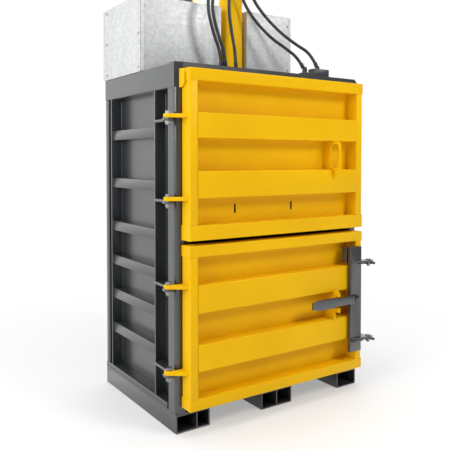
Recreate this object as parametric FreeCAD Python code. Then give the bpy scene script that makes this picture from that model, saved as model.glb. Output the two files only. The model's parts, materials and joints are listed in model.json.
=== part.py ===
"""Recycling baler: a vertical press with two front doors, in millimetres.

+X is to the right, +Y to the back and +Z up. The origin is on the floor, at the
centre of the machine's footprint. Each STEP file holds one named sub-part.
"""
import math
import os

import FreeCAD
import Part

# ---- Driving dimensions -------------------------------------------------

FRAME_WIDTH = 1348.0
FRAME_DEPTH = 940.0
ROOF_HEIGHT = 1994.0

DECK_TOP = 108.0            # top of the pressing floor
DECK_SHEET = 8.0
SKID_SHEET = 8.0
SKID_LEFT_WIDTH = 214.0
SKID_LEFT_WEB = 131.0
SKID_RIGHT_WIDTH = 164.0
SKID_MIDDLE_LEFT = -100.0
SKID_MIDDLE_WIDTH = 228.0
BASE_RAIL_HEIGHT = 32.0

WALL_SHEET = 6.0
WALL_INSET = 76.0           # side wall's inner face, inside the frame's width
TUBE_WALL = 6.0
TUBE_CORNER = 10.0
FRONT_POST_DEPTH = 100.0
FRONT_POST_CORNER = 22.0
REAR_POST_DEPTH = 45.0
FIN_SHEET = 12.0
FRONT_FIN_INSET = 235.0     # fin faces, in from the frame's front and back
REAR_FIN_INSET = 98.0
REAR_WALL_INSET = 37.5
REAR_RIB_BOTTOMS = (500.0, 950.0, 1400.0)
RIB_HEIGHT = 60.0
RIB_INSET = 10.0            # rib face behind the outer face of the posts
RIB_SHEET = 5.0
SIDE_RIB_SHARES = (280.0, 222.0, 218.0, 220.0, 277.0, 302.0, 200.0)    # rib to rib, going up

ROOF_BEAM_HEIGHT = 135.0
ROOF_FRONT_DEPTH = 60.0
ROOF_REAR_DEPTH = 75.0
ROOF_CORNER_CUT = (48.0, 14.0)    # the left front corner, across and back
ROOF_END_CUT = 22.0               # the top right corner
CROSS_BEAM_DEPTH = 70.0
CROSS_BEAM_CENTRE = 125.0
ROOF_SHEET = 6.0

DOOR_LEFT_INSET = 34.0      # door edges inside the frame's width
DOOR_RIGHT_INSET = 46.0
DOOR_DEPTH = 93.0
DOOR_GAP = 2.0              # between the door's back and the frame
DOOR_FLOOR_GAP = 3.0        # between the lower door and the base rails
LOWER_DOOR_TOP = 1019.0
DOOR_SPLIT = 27.0           # between the two doors
UPPER_DOOR_DROP = 40.0      # upper door's top below the roof
STILE_WIDTH = 50.0
STILE_STEP = 2.0            # stile faces behind the faces of the bars
DOOR_TUBE_WALL = 5.0
DOOR_PANEL = 6.0
DOOR_PANEL_INSET = 4.0      # panel in front of the door's back
RIB_EDGE = 5.0
UPPER_TOP_BAR = 65.0
UPPER_BOTTOM_BAR = 80.0
LOWER_BAR = 60.0
UPPER_RIBS = (145.0, 135.0)                 # rib heights, going up
UPPER_RECESS_SHARES = (143.0, 174.0, 166.0)
LOWER_RIBS = (144.0, 151.0)
LOWER_RECESS_SHARES = (144.0, 168.0, 149.0)
SLOT_WIDTH = 14.0
SLOT_HEIGHT = 50.0
SLOT_PLACES = (-300.0, 110.0)
SLOT_LIFT = 74.0            # above the bottom bar
GUSSET_SHEET = 12.0
GUSSET_HEIGHT = 98.0
GUSSET_FRONT = 40.0         # behind the door's face
GUSSET_CUT = 24.0

HINGE_OUT = 35.0            # pin's axis outside the frame's side
HINGE_BACK = 10.0           # and behind its front
UPPER_HINGES = (249.0, 221.0)    # below the door's top, above its bottom
LOWER_HINGES = (217.0, 200.0)
HINGE_EYE = 28.0
HINGE_PIN = 12.0
LUG_THICKNESS = 20.0
BRACKET_THICKNESS = 15.0

KEEPER_INSET = 242.0        # from the door's right edge
KEEPER_SHEET = 8.0
KEEPER_REACH = 54.0         # in front of the door's face
KEEPER_CORNER = 35.0
LOWER_KEEPER_RISE = 15.0    # over the upper rib's lower edge
LOWER_KEEPER_TAIL = (2.0, 49.0, 14.0)     # below the lower rib's top, its height, its reach
UPPER_KEEPER_TAIL = (43.0, 44.0, 30.0)
KEEPER_SLACK = 5.0          # around the lever, in the keeper's slot
KEEPER_SLOT = (30.0, 16.0)  # the upper one's: behind the door's face, from the keeper's front
KEEPER_SLOT_MARGINS = (7.0 / 172.0, 16.0 / 172.0)  # below and above, to the height over the tail

BAR_WIDTH = 95.0
BAR_THICKNESS = 25.0
BAR_INSET = 124.0           # its left edge, from the door's right edge
BAR_ENDS = (124.0, 91.0)    # above the lower door's bottom, below its top
BAR_FRONT_GAP = 2.0         # between the door's face and the bar's back
LOCK_INSET = 24.0           # pin's axis inside the frame's side
LOCK_OUT = 10.0             # and in front of the bar's face
LOCK_LUG_PLACES = (80.0, 95.0)    # above the bar's bottom, below its top
LOCK_EYE = 30.0
LOCK_LUG = 12.0
LOCK_PIN = 10.0
LOCK_BRACKET_EDGE = 6.0     # from the door's edge
LEVER_HEIGHT = 50.0
LEVER_THICKNESS = 12.0
LEVER_RISE = 109.0          # its middle above the lower rib's top
LEVER_LENGTH = 344.0
LEVER_PIN_INSET = 20.0      # from the bar's left edge
LEVER_PIN_DEPTH = 9.0       # behind the bar's face
LEVER_PIN = 5.0
LEVER_KNUCKLE = 11.0
LEVER_SLOT = (12.0, 26.0, 4.0)    # left and right of the pin, above and below the lever
LEVER_PIN_GRIP = 18.0       # how far the pin goes into the bar, each way
PADDLE_LENGTH = 195.0
PADDLE_HEIGHT = 62.0
PADDLE_TIP = 40.0

BARREL_RADIUS = 75.0
BORE_RADIUS = 62.0
BARREL_LENGTH = 1091.0
CAP_HEIGHT = 40.0
MOUNT_PLATE = 25.0
MOUNT_HALF_WIDTH = 77.0
MOUNT_FRONT = 110.0
MOUNT_GAP = 10.0            # between the mounting plate and the housing's notch
MOUNT_BOLT_INSET = 18.0
ROD_RADIUS = 40.0
GLAND_HEIGHT = 60.0
PISTON_HEIGHT = 60.0
PISTON_GAP = 10.0           # between the piston and the head cap

PLATEN_SHEET = 20.0
PLATEN_RIB = 80.0
PLATEN_PLATE = 12.0
PLATEN_BOSS = 106.0
PLATEN_TOP_GAP = 4.0
PLATEN_SIDE_GAP = 8.0
PLATEN_FRONT_GAP = 15.0
PLATEN_BACK_GAP = 10.0

HOUSING_RIGHT_INSET = 222.0
HOUSING_FRONT = -62.0
HOUSING_OVERHANG = 20.0     # behind the frame
HOUSING_HEIGHT = 446.0
HOUSING_SHEET = 3.0
NOTCH_LEFT = -115.0
NOTCH_RIGHT = 85.0
NOTCH_DEPTH = 170.0
HOUSING_DROP = 4.0          # left panel hangs this far over the roof beam

SCREW_HEAD = 6.0
SCREW_HEIGHT = 4.0

TANK_WIDTH = 310.0
TANK_DEPTH = 440.0
TANK_HEIGHT = 295.0
TANK_INSET = 34.0           # from the housing's left side
TANK_SHEET = 4.0
BREATHER_RADIUS = 25.0
MOTOR_Y = 300.0
MOTOR_LIFT = 156.0          # its axis above the roof
MOTOR_LEFT = -180.0
MOTOR_RIGHT = 150.0
MOTOR_RADIUS = 95.0
MOTOR_WALL = 10.0
MOTOR_SHAFT = 15.0
ROTOR_RADIUS = 70.0
FAN_RADIUS = 72.0
FAN_COVER_LENGTH = 65.0
BELL_LENGTH = 50.0
PUMP_LENGTH = 70.0
PUMP_SIZE = 90.0

HOSE_RADIUS = 10.0
FITTING_RADIUS = 13.0
HEAD_BLOCK = (180.0, 60.0, 60.0)                # width, depth, height
HEAD_BLOCK_DROP = 80.0                          # below the barrel's top
HEAD_PORT_Y = -105.0
ROOF_BLOCK = (350.0, 560.0, -330.0, -270.0, 42.0)    # left, right, front, back, height
ROOF_BLOCK_STEP = (432.0, 72.0)                      # where it steps up, and that height

# Each hose's route, from its port on the cylinder head down to the roof.
HOSE_ROUTES = {
    "hose_left_outer": [(-70, -105, 2990), (-72, -107, 2895), (-120, -130, 2735),
                        (-225, -158, 2580), (-300, -182, 2420), (-262, -190, 2250),
                        (-200, -186, 2125), (-195, -185, 2045)],
    "hose_left_inner": [(-35, -105, 2990), (-37, -108, 2895), (-85, -135, 2735),
                        (-194, -164, 2580), (-272, -186, 2420), (-234, -195, 2250),
                        (-172, -189, 2125), (-167, -187, 2045)],
    "hose_front": [(0, -105, 2990), (-3, -107, 2895), (-45, -125, 2735),
                   (-98, -142, 2575), (-120, -152, 2420), (-108, -165, 2270),
                   (-88, -180, 2145), (-86, -183, 2045)],
    "hose_right_inner": [(35, -105, 2990), (34, -107, 2885), (2, -116, 2755),
                         (-27, -121, 2620), (0, -125, 2490), (86, -148, 2360),
                         (185, -190, 2256), (272, -234, 2192), (340, -276, 2130),
                         (368, -294, 2066)],
    "hose_right_outer": [(70, -105, 2990), (69, -107, 2885), (48, -112, 2755),
                         (45, -115, 2620), (92, -122, 2500), (172, -138, 2405),
                         (268, -168, 2312), (372, -212, 2232), (456, -270, 2170),
                         (480, -300, 2080)],
}
HOSE_CORNER_SHARE = 0.45    # of the shorter run, taken by each arc

# ---- Clearances ---------------------------------------------------------

RUNNING = 0.05              # radial, shaft in a bore
FACE_GAP = 1.0              # between flat faces that slide past each other
SLIP_GAP = 0.5

# ---- Derived places -----------------------------------------------------

def spread(low, high, pieces, shares):
    """Lowest and highest level of each piece, with the space between shared out."""
    unit = (high - low - sum(pieces)) / sum(shares)
    level = low
    levels = []
    for share, piece in zip(shares, pieces):
        level += share * unit
        levels.append((level, level + piece))
        level += piece
    return levels


HALF_WIDTH = FRAME_WIDTH / 2
FRONT = -FRAME_DEPTH / 2
BACK = FRAME_DEPTH / 2
WALL_IN = HALF_WIDTH - WALL_INSET
WALL_OUT = WALL_IN + WALL_SHEET
BASE_RAIL_TOP = DECK_TOP + BASE_RAIL_HEIGHT
BEAM_BOTTOM = ROOF_HEIGHT - ROOF_BEAM_HEIGHT
FRONT_POST_BACK = FRONT + FRONT_POST_DEPTH
FRONT_FIN = FRONT + FRONT_FIN_INSET
REAR_FIN = BACK - REAR_FIN_INSET
REAR_WALL_OUT = BACK - REAR_WALL_INSET

DOOR_LEFT = -HALF_WIDTH + DOOR_LEFT_INSET
DOOR_RIGHT = HALF_WIDTH - DOOR_RIGHT_INSET
DOOR_BACK = FRONT - DOOR_GAP
DOOR_FRONT = DOOR_BACK - DOOR_DEPTH
DOOR_PANEL_FRONT = DOOR_BACK - DOOR_PANEL_INSET - DOOR_PANEL
LOWER_DOOR = (BASE_RAIL_TOP + DOOR_FLOOR_GAP, LOWER_DOOR_TOP)
UPPER_DOOR = (LOWER_DOOR_TOP + DOOR_SPLIT, ROOF_HEIGHT - UPPER_DOOR_DROP)
LOWER_RIB_LEVELS = spread(LOWER_DOOR[0] + LOWER_BAR, LOWER_DOOR[1] - LOWER_BAR,
                          LOWER_RIBS, LOWER_RECESS_SHARES)
UPPER_RIB_LEVELS = spread(UPPER_DOOR[0] + UPPER_BOTTOM_BAR, UPPER_DOOR[1] - UPPER_TOP_BAR,
                          UPPER_RIBS, UPPER_RECESS_SHARES)
HINGE_X = -HALF_WIDTH - HINGE_OUT
HINGE_Y = FRONT + HINGE_BACK
HINGE_HEIGHTS = {"upper": (UPPER_DOOR[1] - UPPER_HINGES[0], UPPER_DOOR[0] + UPPER_HINGES[1]),
                 "lower": (LOWER_DOOR[1] - LOWER_HINGES[0], LOWER_DOOR[0] + LOWER_HINGES[1])}

KEEPER_X = DOOR_RIGHT - KEEPER_INSET
KEEPER_FRONT = DOOR_FRONT - KEEPER_REACH
BAR_BACK = DOOR_FRONT - BAR_FRONT_GAP
BAR_FACE = BAR_BACK - BAR_THICKNESS
BAR_LEFT = DOOR_RIGHT - BAR_INSET
BAR_RIGHT = BAR_LEFT + BAR_WIDTH
BAR_LOW = LOWER_DOOR[0] + BAR_ENDS[0]
BAR_HIGH = LOWER_DOOR[1] - BAR_ENDS[1]
LOCK_X = HALF_WIDTH - LOCK_INSET
LOCK_Y = BAR_FACE - LOCK_OUT
LOCK_HEIGHTS = (BAR_HIGH - LOCK_LUG_PLACES[1], BAR_LOW + LOCK_LUG_PLACES[0])
LEVER_PIN_X = BAR_LEFT + LEVER_PIN_INSET
LEVER_PIN_Y = BAR_FACE + LEVER_PIN_DEPTH
LEVER_BACK = LEVER_PIN_Y - LEVER_KNUCKLE
LEVER_FACE = LEVER_BACK - LEVER_THICKNESS
LEVER_LEFT = LEVER_PIN_X - LEVER_LENGTH
LEVER_MIDDLE = LOWER_RIB_LEVELS[0][1] + LEVER_RISE

CYLINDER_BASE = ROOF_HEIGHT + MOUNT_PLATE
BARREL_TOP = CYLINDER_BASE + BARREL_LENGTH
PISTON_TOP = BARREL_TOP - PISTON_GAP
PLATEN_TOP = BEAM_BOTTOM - PLATEN_TOP_GAP
HEAD_BLOCK_BOTTOM = BARREL_TOP - HEAD_BLOCK_DROP
HOUSING_LEFT = -HALF_WIDTH
HOUSING_RIGHT = HALF_WIDTH - HOUSING_RIGHT_INSET
HOUSING_BACK = BACK + HOUSING_OVERHANG
HOUSING_TOP = ROOF_HEIGHT + HOUSING_HEIGHT
NOTCH_BACK = HOUSING_FRONT + NOTCH_DEPTH
MOTOR_Z = ROOF_HEIGHT + MOTOR_LIFT


# ---- Shape helpers ------------------------------------------------------

def block(x0, x1, y0, y1, z0, z1):
    """A box between two corners."""
    return Part.makeBox(x1 - x0, y1 - y0, z1 - z0, FreeCAD.Vector(x0, y0, z0))


def cylinder(centre, axis, radius, length):
    """A round bar that starts at centre and runs along axis."""
    return Part.makeCylinder(radius, length, FreeCAD.Vector(*centre), FreeCAD.Vector(*axis))


def tube(centre, axis, outer, inner, length):
    """A round tube that starts at centre and runs along axis."""
    return cylinder(centre, axis, outer, length).cut(cylinder(centre, axis, inner, length))


def plate(points, z0, thickness):
    """A flat plate with a straight-edged outline in the XY plane."""
    corners = [FreeCAD.Vector(x, y, z0) for x, y in points]
    face = Part.Face(Part.makePolygon(corners + corners[:1]))
    return face.extrude(FreeCAD.Vector(0, 0, thickness))


def side_plate(points, x0, thickness):
    """A flat plate with a straight-edged outline in the YZ plane."""
    corners = [FreeCAD.Vector(x0, y, z) for y, z in points]
    face = Part.Face(Part.makePolygon(corners + corners[:1]))
    return face.extrude(FreeCAD.Vector(thickness, 0, 0))


def front_plate(points, y0, thickness):
    """A flat plate with a straight-edged outline in the XZ plane."""
    corners = [FreeCAD.Vector(x, y0, z) for x, z in points]
    face = Part.Face(Part.makePolygon(corners + corners[:1]))
    return face.extrude(FreeCAD.Vector(0, thickness, 0))


def box_tube(x0, x1, y0, y1, z0, z1, along, wall=TUBE_WALL, corner=TUBE_CORNER):
    """A rectangular tube with round outer edges, open at both ends along one axis."""
    outer = block(x0, x1, y0, y1, z0, z1)
    edges = [e for e in outer.Edges if is_along(e, along)]
    outer = outer.makeFillet(corner, edges)
    grow = {axis: (0.0 if axis == along else wall) for axis in "xyz"}
    inner = block(x0 + grow["x"], x1 - grow["x"], y0 + grow["y"], y1 - grow["y"],
                  z0 + grow["z"], z1 - grow["z"])
    inner_edges = [e for e in inner.Edges if is_along(e, along)]
    inner = inner.makeFillet(max(corner - wall, 1.0), inner_edges)
    return outer.cut(inner)


def is_along(edge, axis):
    """Whether a straight edge runs along the named axis."""
    ends = [v.Point for v in edge.Vertexes]
    if len(ends) != 2:
        return False
    step = ends[1] - ends[0]
    return abs(getattr(step, axis)) > 0.999 * step.Length


def hexagon(x, y, z0, across, height):
    """A hexagon prism of the given width across flats, standing on z0."""
    radius = across / math.sqrt(3)
    points = [(x + radius * math.cos(math.radians(60 * i)),
               y + radius * math.sin(math.radians(60 * i))) for i in range(6)]
    return plate(points, z0, height)


def mirror_x(shape):
    """The same shape on the other side of the machine."""
    return shape.mirror(FreeCAD.Vector(0, 0, 0), FreeCAD.Vector(1, 0, 0))


def save(name, *solids):
    """Write one named sub-part, as one solid or a group of separate ones."""
    shape = solids[0] if len(solids) == 1 else Part.makeCompound(list(solids))
    shape.exportStep("parts/" + name + ".step")


# ---- Base ---------------------------------------------------------------

def make_skid(x0, x1, webs):
    """An open-ended skid: bottom, top, two sides and inner webs."""
    deck_bottom = DECK_TOP - DECK_SHEET
    outer = block(x0, x1, FRONT, BACK, 0, deck_bottom)
    edges = [x0] + list(webs) + [x1]
    cells = []
    for left, right in zip(edges, edges[1:]):
        lead = SKID_SHEET if left == x0 else SKID_SHEET / 2
        tail = SKID_SHEET if right == x1 else SKID_SHEET / 2
        cells.append(block(left + lead, right - tail, FRONT, BACK,
                           SKID_SHEET, deck_bottom - SKID_SHEET))
    return outer.cut(Part.makeCompound(cells))


def make_base():
    """Skids, deck and the rails that carry the posts."""
    save("skid_left", make_skid(-HALF_WIDTH, -HALF_WIDTH + SKID_LEFT_WIDTH,
                                [-HALF_WIDTH + SKID_LEFT_WEB]))
    save("skid_right", make_skid(HALF_WIDTH - SKID_RIGHT_WIDTH, HALF_WIDTH, []))
    middle_right = SKID_MIDDLE_LEFT + SKID_MIDDLE_WIDTH
    middle_web = (SKID_MIDDLE_LEFT + middle_right) / 2
    save("skid_middle", make_skid(SKID_MIDDLE_LEFT, middle_right, [middle_web]))
    save("pressing_floor", block(-HALF_WIDTH, HALF_WIDTH, FRONT, BACK,
                                 DECK_TOP - DECK_SHEET, DECK_TOP))
    rail = block(-HALF_WIDTH, -WALL_OUT, FRONT_POST_BACK, BACK, DECK_TOP, BASE_RAIL_TOP)
    rail = rail.cut(block(-HALF_WIDTH + TUBE_WALL, -WALL_OUT - TUBE_WALL, FRONT_POST_BACK, BACK,
                          DECK_TOP + TUBE_WALL, BASE_RAIL_TOP - TUBE_WALL))
    save("base_rails", rail, mirror_x(rail))


# ---- Frame --------------------------------------------------------------

def make_frame():
    """Posts, fins, side walls with their ribs, the rear wall and the roof beams."""
    post = box_tube(-HALF_WIDTH, -WALL_OUT, FRONT, FRONT_POST_BACK, DECK_TOP, BEAM_BOTTOM, "z",
                    TUBE_WALL, FRONT_POST_CORNER)
    save("front_posts", post, mirror_x(post))
    post = box_tube(-HALF_WIDTH, -WALL_OUT, BACK - REAR_POST_DEPTH, BACK, BASE_RAIL_TOP,
                    BEAM_BOTTOM, "z")
    save("rear_posts", post, mirror_x(post))

    fins = [block(-HALF_WIDTH, -WALL_OUT, y, y + FIN_SHEET, BASE_RAIL_TOP, BEAM_BOTTOM)
            for y in (FRONT_FIN, REAR_FIN)]
    save("side_fins", *fins, *[mirror_x(f) for f in fins])

    rib_front = FRONT_FIN + FIN_SHEET
    rib_face = -HALF_WIDTH + RIB_INSET
    heights = [RIB_HEIGHT] * (len(SIDE_RIB_SHARES) - 1)
    gaps = [share - RIB_HEIGHT for share in SIDE_RIB_SHARES[:-1]] + [SIDE_RIB_SHARES[-1]]
    ribs = []
    for low, high in spread(BASE_RAIL_TOP, BEAM_BOTTOM, heights, gaps):
        rib = block(rib_face, -WALL_OUT, rib_front, REAR_FIN, low, high)
        hollow = block(rib_face + RIB_SHEET, -WALL_OUT, rib_front, REAR_FIN,
                       low + RIB_SHEET, high - RIB_SHEET)
        ribs.append(rib.cut(hollow))
    save("side_ribs_left", *ribs)
    save("side_ribs_right", *[mirror_x(r) for r in ribs])

    wall = block(-WALL_OUT, -WALL_IN, FRONT, BACK, DECK_TOP, BEAM_BOTTOM)
    save("side_wall_left", wall)
    save("side_wall_right", mirror_x(wall))
    save("rear_wall", make_rear_wall())
    make_roof()


def make_rear_wall():
    """The rear sheet with three stiffening channels on its outside."""
    sheet = block(-WALL_IN, WALL_IN, REAR_WALL_OUT - WALL_SHEET, REAR_WALL_OUT,
                  DECK_TOP, BEAM_BOTTOM)
    for z in REAR_RIB_BOTTOMS:
        rib = block(-WALL_IN, WALL_IN, REAR_WALL_OUT, BACK, z, z + RIB_HEIGHT)
        rib = rib.cut(block(-WALL_IN, WALL_IN, REAR_WALL_OUT, BACK - RIB_SHEET,
                            z + RIB_SHEET, z + RIB_HEIGHT - RIB_SHEET))
        sheet = sheet.fuse(rib)
    return sheet.removeSplitter()


def make_roof():
    """Front, rear, side and cross beams, and the sheet between them."""
    front_back = FRONT + ROOF_FRONT_DEPTH
    save("roof_beam_front", make_front_beam(front_back))
    side = box_tube(-HALF_WIDTH, -WALL_IN, front_back, BACK, BEAM_BOTTOM, ROOF_HEIGHT, "y")
    save("roof_side_beams", side, mirror_x(side))
    rear_front = BACK - ROOF_REAR_DEPTH
    save("roof_beam_rear", box_tube(-WALL_IN, WALL_IN, rear_front, BACK,
                                    BEAM_BOTTOM, ROOF_HEIGHT, "x"))
    beam_top = ROOF_HEIGHT - ROOF_SHEET
    beams = []
    for middle in (-CROSS_BEAM_CENTRE, CROSS_BEAM_CENTRE):
        beams.append(box_tube(-WALL_IN, WALL_IN, middle - CROSS_BEAM_DEPTH / 2,
                              middle + CROSS_BEAM_DEPTH / 2, BEAM_BOTTOM, beam_top, "x"))
    save("roof_cross_beams", *beams)
    sheet = block(-WALL_IN, WALL_IN, front_back, rear_front, beam_top, ROOF_HEIGHT)
    save("roof_sheet", sheet.cut(cylinder((0, 0, beam_top), (0, 0, 1),
                                          BORE_RADIUS, ROOF_SHEET)))


def make_front_beam(back):
    """A closed beam across the front, with its left corner and its top right corner cut."""
    beam = block(-HALF_WIDTH, HALF_WIDTH, FRONT, back, BEAM_BOTTOM, ROOF_HEIGHT)
    across, deep = ROOF_CORNER_CUT
    corner = [(-HALF_WIDTH, FRONT), (-HALF_WIDTH + across, FRONT), (-HALF_WIDTH, FRONT + deep)]
    beam = beam.cut(plate(corner, BEAM_BOTTOM, ROOF_BEAM_HEIGHT))
    end = [(HALF_WIDTH - ROOF_END_CUT, ROOF_HEIGHT), (HALF_WIDTH, ROOF_HEIGHT),
           (HALF_WIDTH, ROOF_HEIGHT - ROOF_END_CUT)]
    beam = beam.cut(front_plate(end, FRONT, back - FRONT))
    reach = HALF_WIDTH - across
    inner = block(-reach, reach, FRONT + TUBE_WALL, back - TUBE_WALL,
                  BEAM_BOTTOM + TUBE_WALL, ROOF_HEIGHT - TUBE_WALL)
    return beam.cut(inner)


# ---- Doors --------------------------------------------------------------

def door_rib(low, high):
    """A pressed channel across the door, open at the back against the panel."""
    left, right = DOOR_LEFT + STILE_WIDTH, DOOR_RIGHT - STILE_WIDTH
    outer = block(left, right, DOOR_FRONT, DOOR_PANEL_FRONT, low, high)
    edges = [e for e in outer.Edges
             if is_along(e, "x") and abs(e.Vertexes[0].Point.y - DOOR_FRONT) < 0.01]
    outer = outer.makeFillet(RIB_EDGE, edges)
    inner = block(left, right, DOOR_FRONT + DOOR_TUBE_WALL, DOOR_PANEL_FRONT,
                  low + DOOR_TUBE_WALL, high - DOOR_TUBE_WALL)
    return outer.cut(inner)


def door_bar(low, high):
    """A closed rectangular bar over a door's full width."""
    bar = block(DOOR_LEFT, DOOR_RIGHT, DOOR_FRONT, DOOR_BACK, low, high)
    bar = bar.makeFillet(4.0, [e for e in bar.Edges if is_along(e, "x")])
    return bar.cut(block(DOOR_LEFT + DOOR_TUBE_WALL, DOOR_RIGHT - DOOR_TUBE_WALL,
                         DOOR_FRONT + DOOR_TUBE_WALL, DOOR_BACK - DOOR_TUBE_WALL,
                         low + DOOR_TUBE_WALL, high - DOOR_TUBE_WALL))


def door_body(bounds, bottom_bar, top_bar, ribs):
    """Bars, the stiles between them, panel and ribs welded into one door."""
    low, high = bounds[0] + bottom_bar, bounds[1] - top_bar
    pieces = [door_bar(bounds[0], low), door_bar(high, bounds[1])]
    front, back = DOOR_FRONT + STILE_STEP, DOOR_BACK - STILE_STEP
    for left, right in ((DOOR_LEFT + STILE_STEP, DOOR_LEFT + STILE_WIDTH),
                        (DOOR_RIGHT - STILE_WIDTH, DOOR_RIGHT - STILE_STEP)):
        pieces.append(box_tube(left, right, front, back, low, high, "z", DOOR_TUBE_WALL, 6.0))
    pieces.append(block(DOOR_LEFT + STILE_WIDTH, DOOR_RIGHT - STILE_WIDTH, DOOR_PANEL_FRONT,
                        DOOR_PANEL_FRONT + DOOR_PANEL, low, high))
    pieces += [door_rib(*levels) for levels in ribs]
    return pieces[0].multiFuse(pieces[1:])


def door_gusset(top):
    """The plate on the upper door's left end, cut away at its top and bottom."""
    front, low = DOOR_FRONT + GUSSET_FRONT, top - GUSSET_HEIGHT
    points = [(front, low + GUSSET_CUT), (front, top - GUSSET_CUT), (front + GUSSET_CUT, top),
              (DOOR_BACK, top), (DOOR_BACK, low), (front + GUSSET_CUT, low)]
    return side_plate(points, DOOR_LEFT - GUSSET_SHEET, GUSSET_SHEET)


def hinge_lug(z):
    """A door's hinge lug: a flat plate with a round eye on the pin's axis."""
    weld = DOOR_LEFT + STILE_STEP
    points = [(weld, DOOR_FRONT + 20), (weld, DOOR_BACK - 4), (HINGE_X, HINGE_Y + HINGE_EYE),
              (HINGE_X - HINGE_EYE * 0.7, HINGE_Y - HINGE_EYE * 0.714)]
    z0 = z - LUG_THICKNESS / 2
    lug = plate(points, z0, LUG_THICKNESS)
    # The straight outline stops short of the frame, which starts behind the door.
    lug = lug.cut(block(-HALF_WIDTH - 8, weld, FRONT - 8, BACK, z0, z0 + LUG_THICKNESS))
    eye = cylinder((HINGE_X, HINGE_Y, z0), (0, 0, 1), HINGE_EYE, LUG_THICKNESS)
    lug = lug.fuse(eye)
    return lug.cut(cylinder((HINGE_X, HINGE_Y, z0), (0, 0, 1),
                            HINGE_PIN + RUNNING, LUG_THICKNESS))


def make_doors():
    """Both doors, each one welded piece with its lugs."""
    upper = door_body(UPPER_DOOR, UPPER_BOTTOM_BAR, UPPER_TOP_BAR, UPPER_RIB_LEVELS)
    slot_low = UPPER_DOOR[0] + UPPER_BOTTOM_BAR + SLOT_LIFT - SLOT_HEIGHT / 2
    for x in SLOT_PLACES:
        upper = upper.cut(block(x - SLOT_WIDTH / 2, x + SLOT_WIDTH / 2, DOOR_PANEL_FRONT,
                                DOOR_PANEL_FRONT + DOOR_PANEL, slot_low, slot_low + SLOT_HEIGHT))
    lower = door_body(LOWER_DOOR, LOWER_BAR, LOWER_BAR, LOWER_RIB_LEVELS)
    upper = upper.fuse(door_gusset(UPPER_DOOR[1]))
    upper = upper.multiFuse([hinge_lug(z) for z in HINGE_HEIGHTS["upper"]])
    lower = lower.multiFuse([hinge_lug(z) for z in HINGE_HEIGHTS["lower"]])
    save("upper_door", upper.removeSplitter())
    save("lower_door", lower.removeSplitter())
    save("upper_door_keeper", make_upper_keeper())
    save("lower_door_keeper", make_lower_keeper())


def keeper_blank(low, high, tail, ribs):
    """A keeper before its slot: a plate on the panel between two ribs, with a short tail."""
    tail_height, tail_reach = tail
    foot_low, foot_high = ribs[0][1], ribs[1][0]
    body_low = low + tail_height
    tail_front = DOOR_FRONT - tail_reach
    points = [(DOOR_PANEL_FRONT, foot_low), (DOOR_FRONT, foot_low), (DOOR_FRONT, low),
              (tail_front, low), (tail_front, body_low), (KEEPER_FRONT, body_low),
              (KEEPER_FRONT, high), (DOOR_FRONT, high)]
    if foot_high < high:
        points.append((DOOR_FRONT, foot_high))
    points.append((DOOR_PANEL_FRONT, min(foot_high, high)))
    keeper = side_plate(points, KEEPER_X - KEEPER_SHEET / 2, KEEPER_SHEET)
    corners = [e for e in keeper.Edges if is_along(e, "x")
               and abs(e.Vertexes[0].Point.y - KEEPER_FRONT) < 0.01
               and abs(e.Vertexes[0].Point.z - high) < 0.01]
    return keeper.makeFillet(KEEPER_CORNER, corners)


def make_upper_keeper():
    """The upper door's keeper, with a long closed slot."""
    ribs = UPPER_RIB_LEVELS
    drop, tail_height, tail_reach = UPPER_KEEPER_TAIL
    low, high = ribs[0][1] - drop, ribs[1][0] - FACE_GAP
    keeper = keeper_blank(low, high, (tail_height, tail_reach), ribs)
    behind, front = KEEPER_SLOT
    slot_front = KEEPER_FRONT + front
    body_low = low + tail_height
    slot_low = body_low + (high - body_low) * KEEPER_SLOT_MARGINS[0]
    slot_high = high - (high - body_low) * KEEPER_SLOT_MARGINS[1]
    radius = min(DOOR_FRONT + behind - slot_front, 0.9 * (slot_high - slot_low)) / 2
    ends = (slot_low + radius, slot_high - radius)
    x0 = KEEPER_X - KEEPER_SHEET / 2
    cut = block(x0, x0 + KEEPER_SHEET, slot_front, slot_front + 2 * radius, *ends)
    for z in ends:
        cut = cut.fuse(cylinder((x0, slot_front + radius, z), (1, 0, 0), radius, KEEPER_SHEET))
    return keeper.cut(cut)


def make_lower_keeper():
    """The lower door's keeper: the lever lies in a slot that is open in front."""
    ribs = LOWER_RIB_LEVELS
    drop, tail_height, tail_reach = LOWER_KEEPER_TAIL
    low, high = ribs[0][1] - drop, ribs[1][0] + LOWER_KEEPER_RISE
    half = PADDLE_HEIGHT / 2 + KEEPER_SLACK
    x0 = KEEPER_X - KEEPER_SHEET / 2
    slot = block(x0, x0 + KEEPER_SHEET, KEEPER_FRONT, LEVER_BACK + KEEPER_SLACK,
                 LEVER_MIDDLE - half, LEVER_MIDDLE + half)
    return keeper_blank(low, high, (tail_height, tail_reach), ribs).cut(slot)


# ---- Hinges -------------------------------------------------------------

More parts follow.
